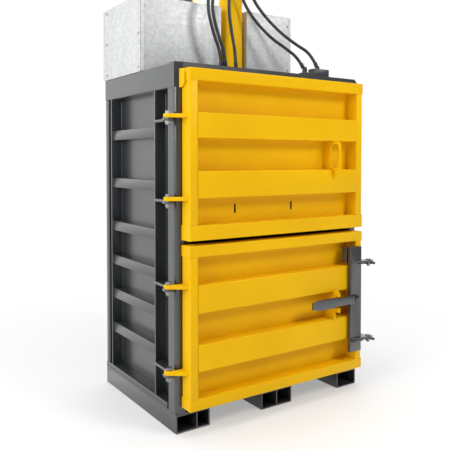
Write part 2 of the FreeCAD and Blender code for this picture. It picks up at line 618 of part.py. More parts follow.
def hinge_bracket(z):
    """A frame bracket under a door lug, from the front fin past the post to the pin."""
    top = z - LUG_THICKNESS / 2 - SLIP_GAP
    z0 = top - BRACKET_THICKNESS
    points = [(-WALL_OUT, FRONT_FIN), (-HALF_WIDTH - 10, FRONT_FIN),
              (-HALF_WIDTH - 16, FRONT_POST_BACK - 30), (HINGE_X - HINGE_EYE + 4, HINGE_Y + 30),
              (HINGE_X - HINGE_EYE, HINGE_Y), (HINGE_X, HINGE_Y - HINGE_EYE + 8),
              (-HALF_WIDTH, FRONT + 4), (-HALF_WIDTH, FRONT_POST_BACK),
              (-WALL_OUT, FRONT_POST_BACK)]
    bracket = plate(points, z0, BRACKET_THICKNESS)
    bracket = bracket.fuse(cylinder((HINGE_X, HINGE_Y, z0), (0, 0, 1),
                                    HINGE_EYE, BRACKET_THICKNESS))
    hole = cylinder((HINGE_X, HINGE_Y, z0), (0, 0, 1), HINGE_PIN + RUNNING, BRACKET_THICKNESS)
    return bracket.cut(hole).removeSplitter()


def hinge_bolt(z):
    """A hexagon bolt down through the lug and the bracket."""
    under_head = z + LUG_THICKNESS / 2 + SLIP_GAP
    length = LUG_THICKNESS + 2 * SLIP_GAP + BRACKET_THICKNESS + 24.0
    shank = cylinder((HINGE_X, HINGE_Y, under_head - length), (0, 0, 1), HINGE_PIN, length)
    return shank.fuse(hexagon(HINGE_X, HINGE_Y, under_head, 36.0, 15.0))


def hinge_nut(z):
    """The nut under the bracket."""
    top = z - LUG_THICKNESS / 2 - SLIP_GAP - BRACKET_THICKNESS
    nut = hexagon(HINGE_X, HINGE_Y, top - 19.0, 36.0, 19.0)
    return nut.cut(cylinder((HINGE_X, HINGE_Y, top - 19.0), (0, 0, 1),
                            HINGE_PIN + RUNNING, 19.0))


def make_hinges():
    """Brackets, bolts and nuts of both doors' hinges."""
    every = HINGE_HEIGHTS["upper"] + HINGE_HEIGHTS["lower"]
    save("hinge_brackets", *[hinge_bracket(z) for z in every])
    save("hinge_bolts", *[hinge_bolt(z) for z in every])
    save("hinge_nuts", *[hinge_nut(z) for z in every])


# ---- Lock ---------------------------------------------------------------

def make_lock():
    """Lock bar with its lugs, its pins, the lever and the frame's brackets."""
    bar = block(BAR_LEFT, BAR_RIGHT, BAR_FACE, BAR_BACK, BAR_LOW, BAR_HIGH)
    bar = bar.makeFillet(3.0, [e for e in bar.Edges if is_along(e, "z")])
    for z in LOCK_HEIGHTS:
        z0 = z - LOCK_LUG / 2
        outline = [(BAR_LEFT + 8, BAR_BACK - 4), (BAR_LEFT + 8, BAR_FACE - 6),
                   (LOCK_X, LOCK_Y - LOCK_EYE), (LOCK_X, BAR_BACK - 4)]
        lug = plate(outline, z0, LOCK_LUG)
        lug = lug.fuse(cylinder((LOCK_X, LOCK_Y, z0), (0, 0, 1), LOCK_EYE, LOCK_LUG))
        bar = bar.fuse(lug)
        bar = bar.cut(cylinder((LOCK_X, LOCK_Y, z0), (0, 0, 1), LOCK_PIN + RUNNING, LOCK_LUG))
    slot_left, slot_right, slot_gap = LEVER_SLOT
    half = LEVER_HEIGHT / 2 + slot_gap
    bar = bar.cut(block(LEVER_PIN_X - slot_left, LEVER_PIN_X + slot_right, BAR_FACE, BAR_BACK,
                        LEVER_MIDDLE - half, LEVER_MIDDLE + half))
    pin_low = LEVER_MIDDLE - half - LEVER_PIN_GRIP
    pin_length = 2 * (half + LEVER_PIN_GRIP)
    bar = bar.cut(cylinder((LEVER_PIN_X, LEVER_PIN_Y, pin_low), (0, 0, 1),
                           LEVER_PIN, pin_length))
    save("lock_bar", bar.removeSplitter())

    pins = []
    for z in LOCK_HEIGHTS:
        low = z - LOCK_LUG / 2 - FACE_GAP - BRACKET_THICKNESS - 10
        pin = cylinder((LOCK_X, LOCK_Y, low), (0, 0, 1), LOCK_PIN, z + LOCK_LUG / 2 - low)
        head = cylinder((LOCK_X, LOCK_Y, z + LOCK_LUG / 2), (0, 0, 1), LOCK_PIN + 6, 6)
        pins.append(pin.fuse(head))
    save("lock_bar_pins", *pins)
    save("lock_lever_pin", cylinder((LEVER_PIN_X, LEVER_PIN_Y, pin_low), (0, 0, 1),
                                    LEVER_PIN, pin_length))
    save("lock_lever", make_lever())
    save("lock_brackets", *[lock_bracket(z) for z in LOCK_HEIGHTS])


def make_lever():
    """A flat lever with a knuckle in the bar's slot and a paddle at its free end."""
    half = LEVER_HEIGHT / 2
    paddle = LEVER_LEFT + PADDLE_LENGTH
    end = LEVER_PIN_X + 6
    points = [(end, LEVER_MIDDLE - half), (paddle, LEVER_MIDDLE - half),
              (paddle - 10, LEVER_MIDDLE - PADDLE_HEIGHT / 2),
              (LEVER_LEFT + 50, LEVER_MIDDLE - PADDLE_HEIGHT / 2),
              (LEVER_LEFT, LEVER_MIDDLE - PADDLE_TIP / 2),
              (LEVER_LEFT, LEVER_MIDDLE + PADDLE_TIP / 2),
              (LEVER_LEFT + 50, LEVER_MIDDLE + PADDLE_HEIGHT / 2),
              (paddle - 10, LEVER_MIDDLE + PADDLE_HEIGHT / 2),
              (paddle, LEVER_MIDDLE + half), (end, LEVER_MIDDLE + half)]
    lever = front_plate(points, LEVER_FACE, LEVER_THICKNESS)
    low = LEVER_MIDDLE - half
    neck = block(LEVER_PIN_X - 8, end, LEVER_BACK, LEVER_PIN_Y, low, low + LEVER_HEIGHT)
    base = (LEVER_PIN_X, LEVER_PIN_Y, low)
    lever = lever.multiFuse([neck, cylinder(base, (0, 0, 1), LEVER_KNUCKLE, LEVER_HEIGHT)])
    lever = lever.cut(cylinder(base, (0, 0, 1), LEVER_PIN + RUNNING, LEVER_HEIGHT))
    return lever.removeSplitter()


def lock_bracket(z):
    """A frame bracket under a lock lug, with a flared slot that is open in front."""
    top = z - LOCK_LUG / 2 - FACE_GAP
    z0 = top - BRACKET_THICKNESS
    inner = DOOR_RIGHT + LOCK_BRACKET_EDGE
    tip = LOCK_Y - 30
    points = [(inner, tip), (HALF_WIDTH + 8, tip), (HALF_WIDTH + 8, FRONT + 70),
              (HALF_WIDTH, FRONT + 60), (HALF_WIDTH, FRONT), (inner, FRONT)]
    slot = [(LOCK_X - LOCK_PIN - SLIP_GAP, LOCK_Y), (LOCK_X - LOCK_PIN - 14, tip - 2),
            (LOCK_X + LOCK_PIN + 14, tip - 2), (LOCK_X + LOCK_PIN + SLIP_GAP, LOCK_Y)]
    bracket = plate(points, z0, BRACKET_THICKNESS)
    bracket = bracket.cut(plate(slot, z0, BRACKET_THICKNESS))
    return bracket.cut(cylinder((LOCK_X, LOCK_Y, z0), (0, 0, 1),
                                LOCK_PIN + SLIP_GAP, BRACKET_THICKNESS))


# ---- Cylinder and ram ---------------------------------------------------

def make_cylinder():
    """Mounting plate, barrel, gland, head cap and their bolts."""
    half, front, back = MOUNT_HALF_WIDTH, -MOUNT_FRONT, NOTCH_BACK - MOUNT_GAP
    base = block(-half, half, front, back, ROOF_HEIGHT, CYLINDER_BASE)
    save("cylinder_mount_plate", base.cut(cylinder((0, 0, ROOF_HEIGHT), (0, 0, 1),
                                                   BORE_RADIUS, MOUNT_PLATE)))
    save("cylinder_barrel", tube((0, 0, CYLINDER_BASE), (0, 0, 1), BARREL_RADIUS,
                                 BORE_RADIUS, BARREL_LENGTH))
    save("cylinder_gland", tube((0, 0, CYLINDER_BASE), (0, 0, 1), BORE_RADIUS,
                                ROD_RADIUS + RUNNING, GLAND_HEIGHT))
    save("cylinder_head_cap", cylinder((0, 0, BARREL_TOP), (0, 0, 1),
                                       BARREL_RADIUS, CAP_HEIGHT))
    bolts = []
    inset = MOUNT_BOLT_INSET
    for x in (-half + inset, half - inset):
        for y in (front + inset, back - inset):
            bolts.append(hexagon(x, y, CYLINDER_BASE, 30.0, 13.0))
    save("cylinder_mount_bolts", *bolts)


def make_ram():
    """Piston, rod and the pressing platen."""
    save("piston", cylinder((0, 0, PISTON_TOP - PISTON_HEIGHT), (0, 0, 1),
                            BORE_RADIUS - RUNNING, PISTON_HEIGHT))
    save("piston_rod", cylinder((0, 0, PLATEN_TOP), (0, 0, 1), ROD_RADIUS,
                                PISTON_TOP - PISTON_HEIGHT - PLATEN_TOP))
    half = WALL_IN - PLATEN_SIDE_GAP
    front = FRONT + PLATEN_FRONT_GAP
    back = REAR_WALL_OUT - WALL_SHEET - PLATEN_BACK_GAP
    rib_high = PLATEN_TOP - PLATEN_SHEET
    rib_low = rib_high - PLATEN_RIB
    platen = [block(-half, half, front, back, rib_low - PLATEN_SHEET, rib_low)]
    t, boss = PLATEN_PLATE, PLATEN_BOSS
    for y in (front, back - t, -boss, boss - t):
        platen.append(block(-half, half, y, y + t, rib_low, rib_high))
    for x in (-half, half - t, -boss, boss - t):
        platen.append(block(x, x + t, front, back, rib_low, rib_high))
    platen.append(block(-boss, boss, -boss, boss, rib_high, PLATEN_TOP))
    save("pressing_platen", platen[0].multiFuse(platen[1:]).removeSplitter())


# ---- Housing ------------------------------------------------------------

def make_housing():
    """The sheet-metal housing over the power unit, notched round the barrel."""
    t = HOUSING_SHEET
    left, right, front, back = HOUSING_LEFT, HOUSING_RIGHT, HOUSING_FRONT, HOUSING_BACK
    roof = ROOF_HEIGHT
    save("housing_side_left", block(left - t, left, front, back,
                                    roof - HOUSING_DROP, HOUSING_TOP))
    save("housing_side_right", block(right - t, right, front + t, back - t, roof, HOUSING_TOP - t))
    notch_left, notch_right, notch = NOTCH_LEFT, NOTCH_RIGHT, NOTCH_BACK
    outline = [(left, front), (notch_left, front), (notch_left, notch), (notch_right, notch),
               (notch_right, front), (right, front), (right, front + t),
               (notch_right + t, front + t), (notch_right + t, notch + t),
               (notch_left - t, notch + t), (notch_left - t, front + t), (left, front + t)]
    save("housing_front", plate(outline, roof, HOUSING_TOP - t - roof))
    save("housing_back", block(left, right, back - t, back, roof, HOUSING_TOP - t))
    top = block(left, right, front, back, HOUSING_TOP - t, HOUSING_TOP)
    save("housing_top", top.cut(block(notch_left, notch_right, front, notch,
                                      HOUSING_TOP - t, HOUSING_TOP)))
    screws = []
    x = left - t - SCREW_HEIGHT
    for y in (front + 25, back - 60):
        for z in (roof + 25, (roof + HOUSING_TOP) / 2, HOUSING_TOP - 25):
            screws.append(cylinder((x, y, z), (1, 0, 0), SCREW_HEAD, SCREW_HEIGHT))
    y = front - SCREW_HEIGHT
    for x in (left + 25, right - 25):
        for z in (roof + 90, HOUSING_TOP - 60):
            screws.append(cylinder((x, y, z), (0, 1, 0), SCREW_HEAD, SCREW_HEIGHT))
    save("housing_screws", *screws)


# ---- Power unit ---------------------------------------------------------

def make_power_unit():
    """Oil tank, motor with its fan, and the pump, on the roof under the housing."""
    left = HOUSING_LEFT + TANK_INSET
    right = left + TANK_WIDTH
    back = HOUSING_BACK - HOUSING_SHEET - TANK_INSET
    front = back - TANK_DEPTH
    top = ROOF_HEIGHT + TANK_HEIGHT
    tank = block(left, right, front, back, ROOF_HEIGHT, top)
    tank = tank.cut(block(left + TANK_SHEET, right - TANK_SHEET, front + TANK_SHEET,
                          back - TANK_SHEET, ROOF_HEIGHT + TANK_SHEET, top - TANK_SHEET))
    save("oil_tank", tank)
    save("tank_breather", cylinder((left + 80, front + 80, top), (0, 0, 1),
                                    BREATHER_RADIUS, 45.0))

    along = (1, 0, 0)
    bearing = MOTOR_SHAFT + RUNNING
    length = MOTOR_RIGHT - MOTOR_LEFT
    casing = cylinder((MOTOR_LEFT, MOTOR_Y, MOTOR_Z), along, MOTOR_RADIUS, length)
    casing = casing.cut(cylinder((MOTOR_LEFT + MOTOR_WALL, MOTOR_Y, MOTOR_Z), along,
                                 MOTOR_RADIUS - MOTOR_WALL, length - 2 * MOTOR_WALL))
    casing = casing.cut(cylinder((MOTOR_LEFT, MOTOR_Y, MOTOR_Z), along, bearing, length))
    foot = block(MOTOR_LEFT + 40, MOTOR_RIGHT - 40, MOTOR_Y - 80, MOTOR_Y + 80,
                 ROOF_HEIGHT, MOTOR_Z - MOTOR_RADIUS + 30)
    foot = foot.cut(cylinder((MOTOR_LEFT, MOTOR_Y, MOTOR_Z), along, MOTOR_RADIUS - 4, length))
    save("motor_casing", casing.fuse(foot).removeSplitter())

    cover = cylinder((MOTOR_RIGHT, MOTOR_Y, MOTOR_Z), along, MOTOR_RADIUS, FAN_COVER_LENGTH)
    cover = cover.cut(cylinder((MOTOR_RIGHT, MOTOR_Y, MOTOR_Z), along,
                               MOTOR_RADIUS - 3, FAN_COVER_LENGTH - 3))
    save("fan_cover", cover)

    bell_left = MOTOR_LEFT - BELL_LENGTH
    save("pump_bell", tube((bell_left, MOTOR_Y, MOTOR_Z), along, 55.0, 45.0, BELL_LENGTH))
    half = PUMP_SIZE / 2 + 12
    pump = block(bell_left - PUMP_LENGTH, bell_left, MOTOR_Y - half, MOTOR_Y + half,
                 MOTOR_Z - half, MOTOR_Z + half)
    save("oil_pump", pump.cut(cylinder((bell_left - PUMP_LENGTH + 20, MOTOR_Y, MOTOR_Z), along,
                                       bearing, PUMP_LENGTH)))

    shaft_left = bell_left - PUMP_LENGTH + 25
    shaft_right = MOTOR_RIGHT + FAN_COVER_LENGTH - 15
    rotor = cylinder((shaft_left, MOTOR_Y, MOTOR_Z), along, MOTOR_SHAFT,
                     shaft_right - shaft_left)
    core = cylinder((MOTOR_LEFT + 40, MOTOR_Y, MOTOR_Z), along, ROTOR_RADIUS, length - 80)
    save("motor_rotor", rotor.fuse(core))
    save("cooling_fan", make_fan())


def make_fan():
    """The motor's fan: a hub with six straight blades."""
    along = (1, 0, 0)
    hub_left = MOTOR_RIGHT + 15
    fan = cylinder((hub_left, MOTOR_Y, MOTOR_Z), along, MOTOR_SHAFT + 10, 25.0)
    for i in range(6):
        blade = block(hub_left, hub_left + 25, MOTOR_Y - 1.5, MOTOR_Y + 1.5,
                      MOTOR_Z + MOTOR_SHAFT + 5, MOTOR_Z + FAN_RADIUS)
        blade.rotate(FreeCAD.Vector(0, MOTOR_Y, MOTOR_Z), FreeCAD.Vector(1, 0, 0), 60 * i)
        fan = fan.fuse(blade)
    return fan.cut(cylinder((hub_left, MOTOR_Y, MOTOR_Z), along, MOTOR_SHAFT, 25.0))


# ---- Hoses --------------------------------------------------------------

def make_hose_fittings():
    """Port blocks and the brass fittings that the hoses run between."""
    width, depth, height = HEAD_BLOCK
    block_back = HEAD_PORT_Y + depth / 2
    head = block(-width / 2, width / 2, HEAD_PORT_Y - depth / 2, block_back + 30,
                 HEAD_BLOCK_BOTTOM, HEAD_BLOCK_BOTTOM + height)
    save("cylinder_head_block", head.cut(cylinder((0, 0, HEAD_BLOCK_BOTTOM), (0, 0, 1),
                                                  BARREL_RADIUS, height)))
    left, right, front, back, high = ROOF_BLOCK
    step, step_high = ROOF_BLOCK_STEP
    port = block(left, right, front, back, ROOF_HEIGHT, ROOF_HEIGHT + high)
    port = port.fuse(block(step, right, front, back, ROOF_HEIGHT, ROOF_HEIGHT + step_high))
    save("roof_port_block", port.removeSplitter())
    fittings = []
    for route in HOSE_ROUTES.values():
        fittings.append(fitting(route[0], route[1], HEAD_BLOCK_BOTTOM, 1))
        x = route[-1][0]
        floor = ROOF_HEIGHT
        if left < x < right:
            floor += step_high if x > step else high
        fittings.append(fitting(route[-1], route[-2], floor, -1))
    save("hose_fittings", *fittings)


def fitting(end, before, face, upward):
    """A brass fitting in line with a hose's end run, up or down to a flat face."""
    axis = (FreeCAD.Vector(*end) - FreeCAD.Vector(*before)).normalize()
    reach = 3 * abs(face - end[2])
    body = cylinder(end, tuple(axis), FITTING_RADIUS, reach)
    size = 2 * reach
    low = face if upward > 0 else face - size
    x, y = end[0], end[1]
    return body.cut(block(x - size, x + size, y - size, y + size, low, low + size))


def hose(points):
    """A hose as straight runs joined by tangent arcs; returns its solid and radii."""
    nodes = [FreeCAD.Vector(*p) for p in points]
    edges = []
    radii = []
    start = nodes[0]
    for before, corner, after in zip(nodes, nodes[1:], nodes[2:]):
        arrive = (corner - before).normalize()
        leave = (after - corner).normalize()
        turn = arrive.getAngle(leave)
        shorter = min((corner - before).Length, (after - corner).Length)
        trim = HOSE_CORNER_SHARE * shorter
        radius = trim / math.tan(turn / 2)
        radii.append(radius)
        arc_start = corner - arrive * trim
        arc_end = corner + leave * trim
        inward = (leave - arrive).normalize()
        middle = corner + inward * (radius / math.cos(turn / 2) - radius)
        edges.append(Part.LineSegment(start, arc_start).toShape())
        edges.append(Part.Arc(arc_start, middle, arc_end).toShape())
        start = arc_end
    edges.append(Part.LineSegment(start, nodes[-1]).toShape())
    path = Part.Wire(edges)
    ring = Part.Wire(Part.makeCircle(HOSE_RADIUS, nodes[0], nodes[1] - nodes[0]))
    solid = path.makePipeShell([ring], True, False)
    return solid, radii, path.Length


def make_hoses():
    """All five hoses, with a printed check of their bends and volumes."""
    for name, points in HOSE_ROUTES.items():
        solid, radii, length = hose(points)
        expected = math.pi * HOSE_RADIUS ** 2 * length
        print(name, "radii", [round(r) for r in radii], "length", round(length),
              "volume ratio", round(solid.Volume / expected, 4))
        save(name, solid)


def main():
    """Build every sub-part."""
    os.makedirs("parts", exist_ok=True)
    make_base()
    make_frame()
    make_doors()
    make_hinges()
    make_lock()
    make_cylinder()
    make_ram()
    make_housing()
    make_power_unit()
    make_hose_fittings()
    make_hoses()


main()
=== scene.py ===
"""Looks of the recycling baler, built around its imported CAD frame.

Lengths are in metres, with +X to the right, +Y to the back and +Z up. The origin is on
the floor, under the press cylinder. Places come from the frame's own boxes.
"""

import json
import logging
import math
import random
from dataclasses import dataclass
from enum import Enum

import bmesh
import bpy
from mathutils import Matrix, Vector

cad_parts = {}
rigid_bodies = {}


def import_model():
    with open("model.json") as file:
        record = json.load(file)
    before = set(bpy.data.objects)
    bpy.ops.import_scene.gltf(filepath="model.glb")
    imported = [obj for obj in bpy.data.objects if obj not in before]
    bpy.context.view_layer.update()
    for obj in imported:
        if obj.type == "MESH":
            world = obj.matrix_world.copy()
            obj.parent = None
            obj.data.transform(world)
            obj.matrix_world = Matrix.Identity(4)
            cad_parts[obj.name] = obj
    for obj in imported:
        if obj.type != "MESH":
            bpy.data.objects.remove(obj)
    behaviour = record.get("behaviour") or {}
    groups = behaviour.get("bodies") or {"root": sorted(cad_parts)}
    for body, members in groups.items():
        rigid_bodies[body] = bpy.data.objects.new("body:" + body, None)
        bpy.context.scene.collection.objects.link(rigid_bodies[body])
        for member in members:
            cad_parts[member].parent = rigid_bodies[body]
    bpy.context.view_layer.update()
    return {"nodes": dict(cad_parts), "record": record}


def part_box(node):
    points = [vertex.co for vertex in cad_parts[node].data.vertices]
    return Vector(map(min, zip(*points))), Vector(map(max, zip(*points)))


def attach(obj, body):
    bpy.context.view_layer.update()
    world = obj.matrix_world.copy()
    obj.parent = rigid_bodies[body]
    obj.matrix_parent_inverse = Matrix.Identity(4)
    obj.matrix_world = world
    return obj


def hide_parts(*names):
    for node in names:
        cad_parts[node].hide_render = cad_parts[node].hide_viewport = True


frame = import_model()

log = logging.getLogger("baler")

Point = tuple[float, float, float]
Colour = tuple[float, float, float]

UP = Vector((0.0, 0.0, 1.0))
BACKWARD = Vector((0.0, 1.0, 0.0))
RIGHTWARD = Vector((1.0, 0.0, 0.0))
FRAME_BODY = "frame"
WELD_SEED = 11

# Sizes that a node's own box doesn't give: a door's body without its lugs, the lock bar
# without its lugs, half a lug's thickness, and the heights of the bars and hinges.
DOOR_SPAN = 1.268
DOOR_DEEP = 0.093
STILE = 0.050
BAR_SPAN = 0.095
BAR_DEEP = 0.025
LUG_HALF = 0.010
BAR_LEVELS = {"upper_door": (1.126, 1.889), "lower_door": (0.203, 0.959)}
HINGE_LEVELS = {"upper_door": (1.705, 1.267), "lower_door": (0.802, 0.343)}


# ---- Shader helpers -----------------------------------------------------

class Shader:
    """A node material under construction."""

    def __init__(self, name: str) -> None:
        """Start an empty node material.

        Args:
            name: the material's name.
        """
        self.material = bpy.data.materials.new(name)
        self.material.use_nodes = True
        self.tree = self.material.node_tree
        self.bsdf = self.tree.nodes["Principled BSDF"]

    def add(self, kind: str, **settings: object) -> bpy.types.Node:
        """Add a node and set its plain properties.

        Args:
            kind: the node's type name.
            **settings: attributes to set on the node.

        Returns:
            The new node.
        """
        node = self.tree.nodes.new(kind)
        for key, value in settings.items():
            setattr(node, key, value)
        return node

    def link(self, source: bpy.types.NodeSocket, target: bpy.types.NodeSocket) -> None:
        """Join two sockets."""
        self.tree.links.new(source, target)

    def place(self, stretch: Point = (1.0, 1.0, 1.0)) -> bpy.types.NodeSocket:
        """Give object coordinates, stretched along each axis.

        Args:
            stretch: the scale of each axis.

        Returns:
            The vector socket.
        """
        where = self.add("ShaderNodeTexCoord")
        mapping = self.add("ShaderNodeMapping")
        mapping.inputs["Scale"].default_value = stretch
        self.link(where.outputs["Object"], mapping.inputs["Vector"])
        return mapping.outputs["Vector"]

    def noise(self, scale: float, detail: float = 4.0, roughness: float = 0.55,
              stretch: Point = (1.0, 1.0, 1.0)) -> bpy.types.NodeSocket:
        """Give a noise value.

        Args:
            scale: features per metre.
            detail: octaves.
            roughness: weight of the finer octaves.
            stretch: the scale of each axis.

        Returns:
            The value socket.
        """
        node = self.add("ShaderNodeTexNoise")
        node.inputs["Scale"].default_value = scale
        node.inputs["Detail"].default_value = detail
        node.inputs["Roughness"].default_value = roughness
        self.link(self.place(stretch), node.inputs["Vector"])
        return node.outputs["Fac"]

    def ramp(self, source: bpy.types.NodeSocket, low: float, high: float,
             first: Colour, last: Colour) -> bpy.types.NodeSocket:
        """Turn a value into a colour between two stops.

        Args:
            source: the value socket.
            low: the value of the first colour.
            high: the value of the last colour.
            first: the colour at low.
            last: the colour at high.

        Returns:
            The colour socket.
        """
        node = self.add("ShaderNodeValToRGB")
        node.color_ramp.elements[0].position = low
        node.color_ramp.elements[1].position = high
        node.color_ramp.elements[0].color = (*first, 1.0)
        node.color_ramp.elements[1].color = (*last, 1.0)
        self.link(source, node.inputs["Fac"])
        return node.outputs["Color"]

    def span(self, source: bpy.types.NodeSocket, low: float, high: float) -> bpy.types.NodeSocket:
        """Map a value from 0..1 to low..high.

        Args:
            source: the value socket.
            low: the result at 0.
            high: the result at 1.

        Returns:
            The mapped value socket.
        """
        node = self.add("ShaderNodeMapRange")
        node.inputs["To Min"].default_value = low
        node.inputs["To Max"].default_value = high
        self.link(source, node.inputs["Value"])
        return node.outputs["Result"]

    def mix(self, share: bpy.types.NodeSocket, under: bpy.types.NodeSocket,
            over: Colour) -> bpy.types.NodeSocket:
        """Lay one plain colour over another by a share.

        Args:
            share: how much of the plain colour shows.
            under: the colour beneath.
            over: the plain colour on top.

        Returns:
            The colour socket.
        """
        node = self.add("ShaderNodeMix", data_type="RGBA")
        self.link(share, node.inputs["Factor"])
        self.link(under, node.inputs[6])
        node.inputs[7].default_value = (*over, 1.0)
        return node.outputs[2]

    def bump(self, source: bpy.types.NodeSocket, strength: float, distance: float,
             below: bpy.types.NodeSocket | None = None) -> bpy.types.NodeSocket:
        """Give a normal from a height value.

        Args:
            source: the height socket.
            strength: the bump's strength.
            distance: the height in metres.
            below: a normal that this one is laid on.

        Returns:
            The normal socket.
        """
        node = self.add("ShaderNodeBump")
        node.inputs["Strength"].default_value = strength
        node.inputs["Distance"].default_value = distance
        self.link(source, node.inputs["Height"])
        if below is not None:
            self.link(below, node.inputs["Normal"])
        return node.outputs["Normal"]

    def facing_up(self, start: float) -> bpy.types.NodeSocket:
        """Give a value that is 1 on faces that look up and 0 on the rest.

        Args:
            start: the upward share of the normal where it begins.

        Returns:
            The value socket.
        """
        geometry = self.add("ShaderNodeNewGeometry")
        split = self.add("ShaderNodeSeparateXYZ")
        self.link(geometry.outputs["Normal"], split.inputs["Vector"])
        node = self.add("ShaderNodeMapRange")
        node.inputs["From Min"].default_value = start
        self.link(split.outputs["Z"], node.inputs["Value"])
        return node.outputs["Result"]


# ---- Finishes -----------------------------------------------------------

@dataclass(frozen=True)
class EnamelFinish:
    """Sprayed enamel on steel, with a light orange peel and a little dust on top."""

    name: str
    slot: str
    tone: Colour
    deep_tone: Colour
    dust: Colour
    roughness: float = 0.34
    dusting: float = 0.3
    peel_scale: float = 260.0
    peel_height: float = 0.0004
    coat: float = 0.0
    shine: float = 0.5

    def build(self) -> bpy.types.Material:
        """Make the material."""
        s = Shader(self.name)
        wide = s.noise(2.2, 5.0)
        base = s.ramp(wide, 0.35, 0.7, self.deep_tone, self.tone)
        specks = s.noise(34.0, 8.0, 0.7)
        grime = s.span(specks, -self.dusting, self.dusting)
        top = s.facing_up(0.6)
        amount = s.add("ShaderNodeMath", operation="MULTIPLY", use_clamp=True)
        s.link(grime, amount.inputs[0])
        s.link(top, amount.inputs[1])
        s.link(s.mix(amount.outputs[0], base, self.dust), s.bsdf.inputs["Base Color"])
        s.link(s.span(s.noise(9.0, 6.0), self.roughness - 0.05, self.roughness + 0.09),
               s.bsdf.inputs["Roughness"])
        waves = s.bump(s.noise(3.2, 2.0), 0.16, 0.002)
        peel = s.noise(self.peel_scale, 2.0)
        s.link(s.bump(peel, 0.12, self.peel_height, waves), s.bsdf.inputs["Normal"])
        s.bsdf.inputs["Specular IOR Level"].default_value = self.shine
        s.bsdf.inputs["Coat Weight"].default_value = self.coat
        s.bsdf.inputs["Coat Roughness"].default_value = 0.2
        return s.material


@dataclass(frozen=True)
class ZincSheetFinish:
    """Hot-dip galvanised sheet: pale spangles, rolling streaks and a soft shine."""

    name: str
    slot: str
    pale: Colour = (0.70, 0.705, 0.71)
    dark: Colour = (0.51, 0.52, 0.53)
    spangle_scale: float = 60.0

    def build(self) -> bpy.types.Material:
        """Make the material."""
        s = Shader(self.name)
        cells = s.add("ShaderNodeTexVoronoi")
        cells.inputs["Scale"].default_value = self.spangle_scale
        s.link(s.place(), cells.inputs["Vector"])
        split = s.add("ShaderNodeSeparateColor")
        s.link(cells.outputs["Color"], split.inputs["Color"])
        streaks = s.noise(9.0, 7.0, 0.65, (1.0, 1.0, 0.22))
        blend = s.add("ShaderNodeMix", data_type="FLOAT")
        blend.inputs["Factor"].default_value = 0.62
        s.link(split.outputs["Red"], blend.inputs[2])
        s.link(streaks, blend.inputs[3])
        s.link(s.ramp(blend.outputs[0], 0.2, 0.8, self.dark, self.pale),
               s.bsdf.inputs["Base Color"])
        s.bsdf.inputs["Metallic"].default_value = 0.12
        s.bsdf.inputs["Specular IOR Level"].default_value = 0.3
        s.link(s.span(split.outputs["Green"], 0.38, 0.58), s.bsdf.inputs["Roughness"])
        ripple = s.bump(s.noise(5.0, 2.0), 0.25, 0.004)
        s.link(s.bump(split.outputs["Blue"], 0.05, 0.0003, ripple), s.bsdf.inputs["Normal"])
        return s.material


@dataclass(frozen=True)
class MetalFinish:
    """Bare or plated metal with fine turning marks."""

    name: str
    slot: str
    tone: Colour
    deep_tone: Colour
    roughness: float = 0.3
    mark_scale: float = 420.0
    mark_stretch: Point = (1.0, 1.0, 1.0)
    mark_height: float = 0.0002

    def build(self) -> bpy.types.Material:
        """Make the material."""
        s = Shader(self.name)
        s.link(s.ramp(s.noise(28.0, 5.0), 0.3, 0.7, self.deep_tone, self.tone),
               s.bsdf.inputs["Base Color"])
        s.bsdf.inputs["Metallic"].default_value = 1.0
        s.link(s.span(s.noise(60.0, 4.0), self.roughness - 0.08, self.roughness + 0.12),
               s.bsdf.inputs["Roughness"])
        marks = s.noise(self.mark_scale, 3.0, 0.6, self.mark_stretch)
        s.link(s.bump(marks, 0.15, self.mark_height), s.bsdf.inputs["Normal"])
        return s.material


@dataclass(frozen=True)
class RubberFinish:
    """Smooth extruded rubber with a faint cloth-wrap texture."""

    name: str
    slot: str
    tone: Colour = (0.016, 0.016, 0.017)
    worn: Colour = (0.045, 0.044, 0.043)
    wrap_scale: float = 480.0

    def build(self) -> bpy.types.Material:
        """Make the material."""
        s = Shader(self.name)
        s.link(s.ramp(s.noise(22.0, 7.0), 0.42, 0.78, self.tone, self.worn),
               s.bsdf.inputs["Base Color"])
        s.link(s.span(s.noise(40.0, 4.0), 0.4, 0.6), s.bsdf.inputs["Roughness"])
        s.link(s.bump(s.noise(self.wrap_scale, 2.0, 0.5, (1.0, 1.0, 0.3)), 0.2, 0.0004),
               s.bsdf.inputs["Normal"])
        return s.material


@dataclass(frozen=True)
class MouldedFinish:
    """Moulded plastic with a fine grain."""

    name: str
    slot: str
    tone: Colour = (0.02, 0.02, 0.021)
    worn: Colour = (0.04, 0.04, 0.041)

    def build(self) -> bpy.types.Material:
        """Make the material."""
        s = Shader(self.name)
        s.link(s.ramp(s.noise(30.0, 4.0), 0.4, 0.7, self.tone, self.worn),
               s.bsdf.inputs["Base Color"])
        s.link(s.span(s.noise(90.0, 3.0), 0.42, 0.6), s.bsdf.inputs["Roughness"])
        s.link(s.bump(s.noise(900.0, 2.0), 0.2, 0.0002), s.bsdf.inputs["Normal"])
        return s.material


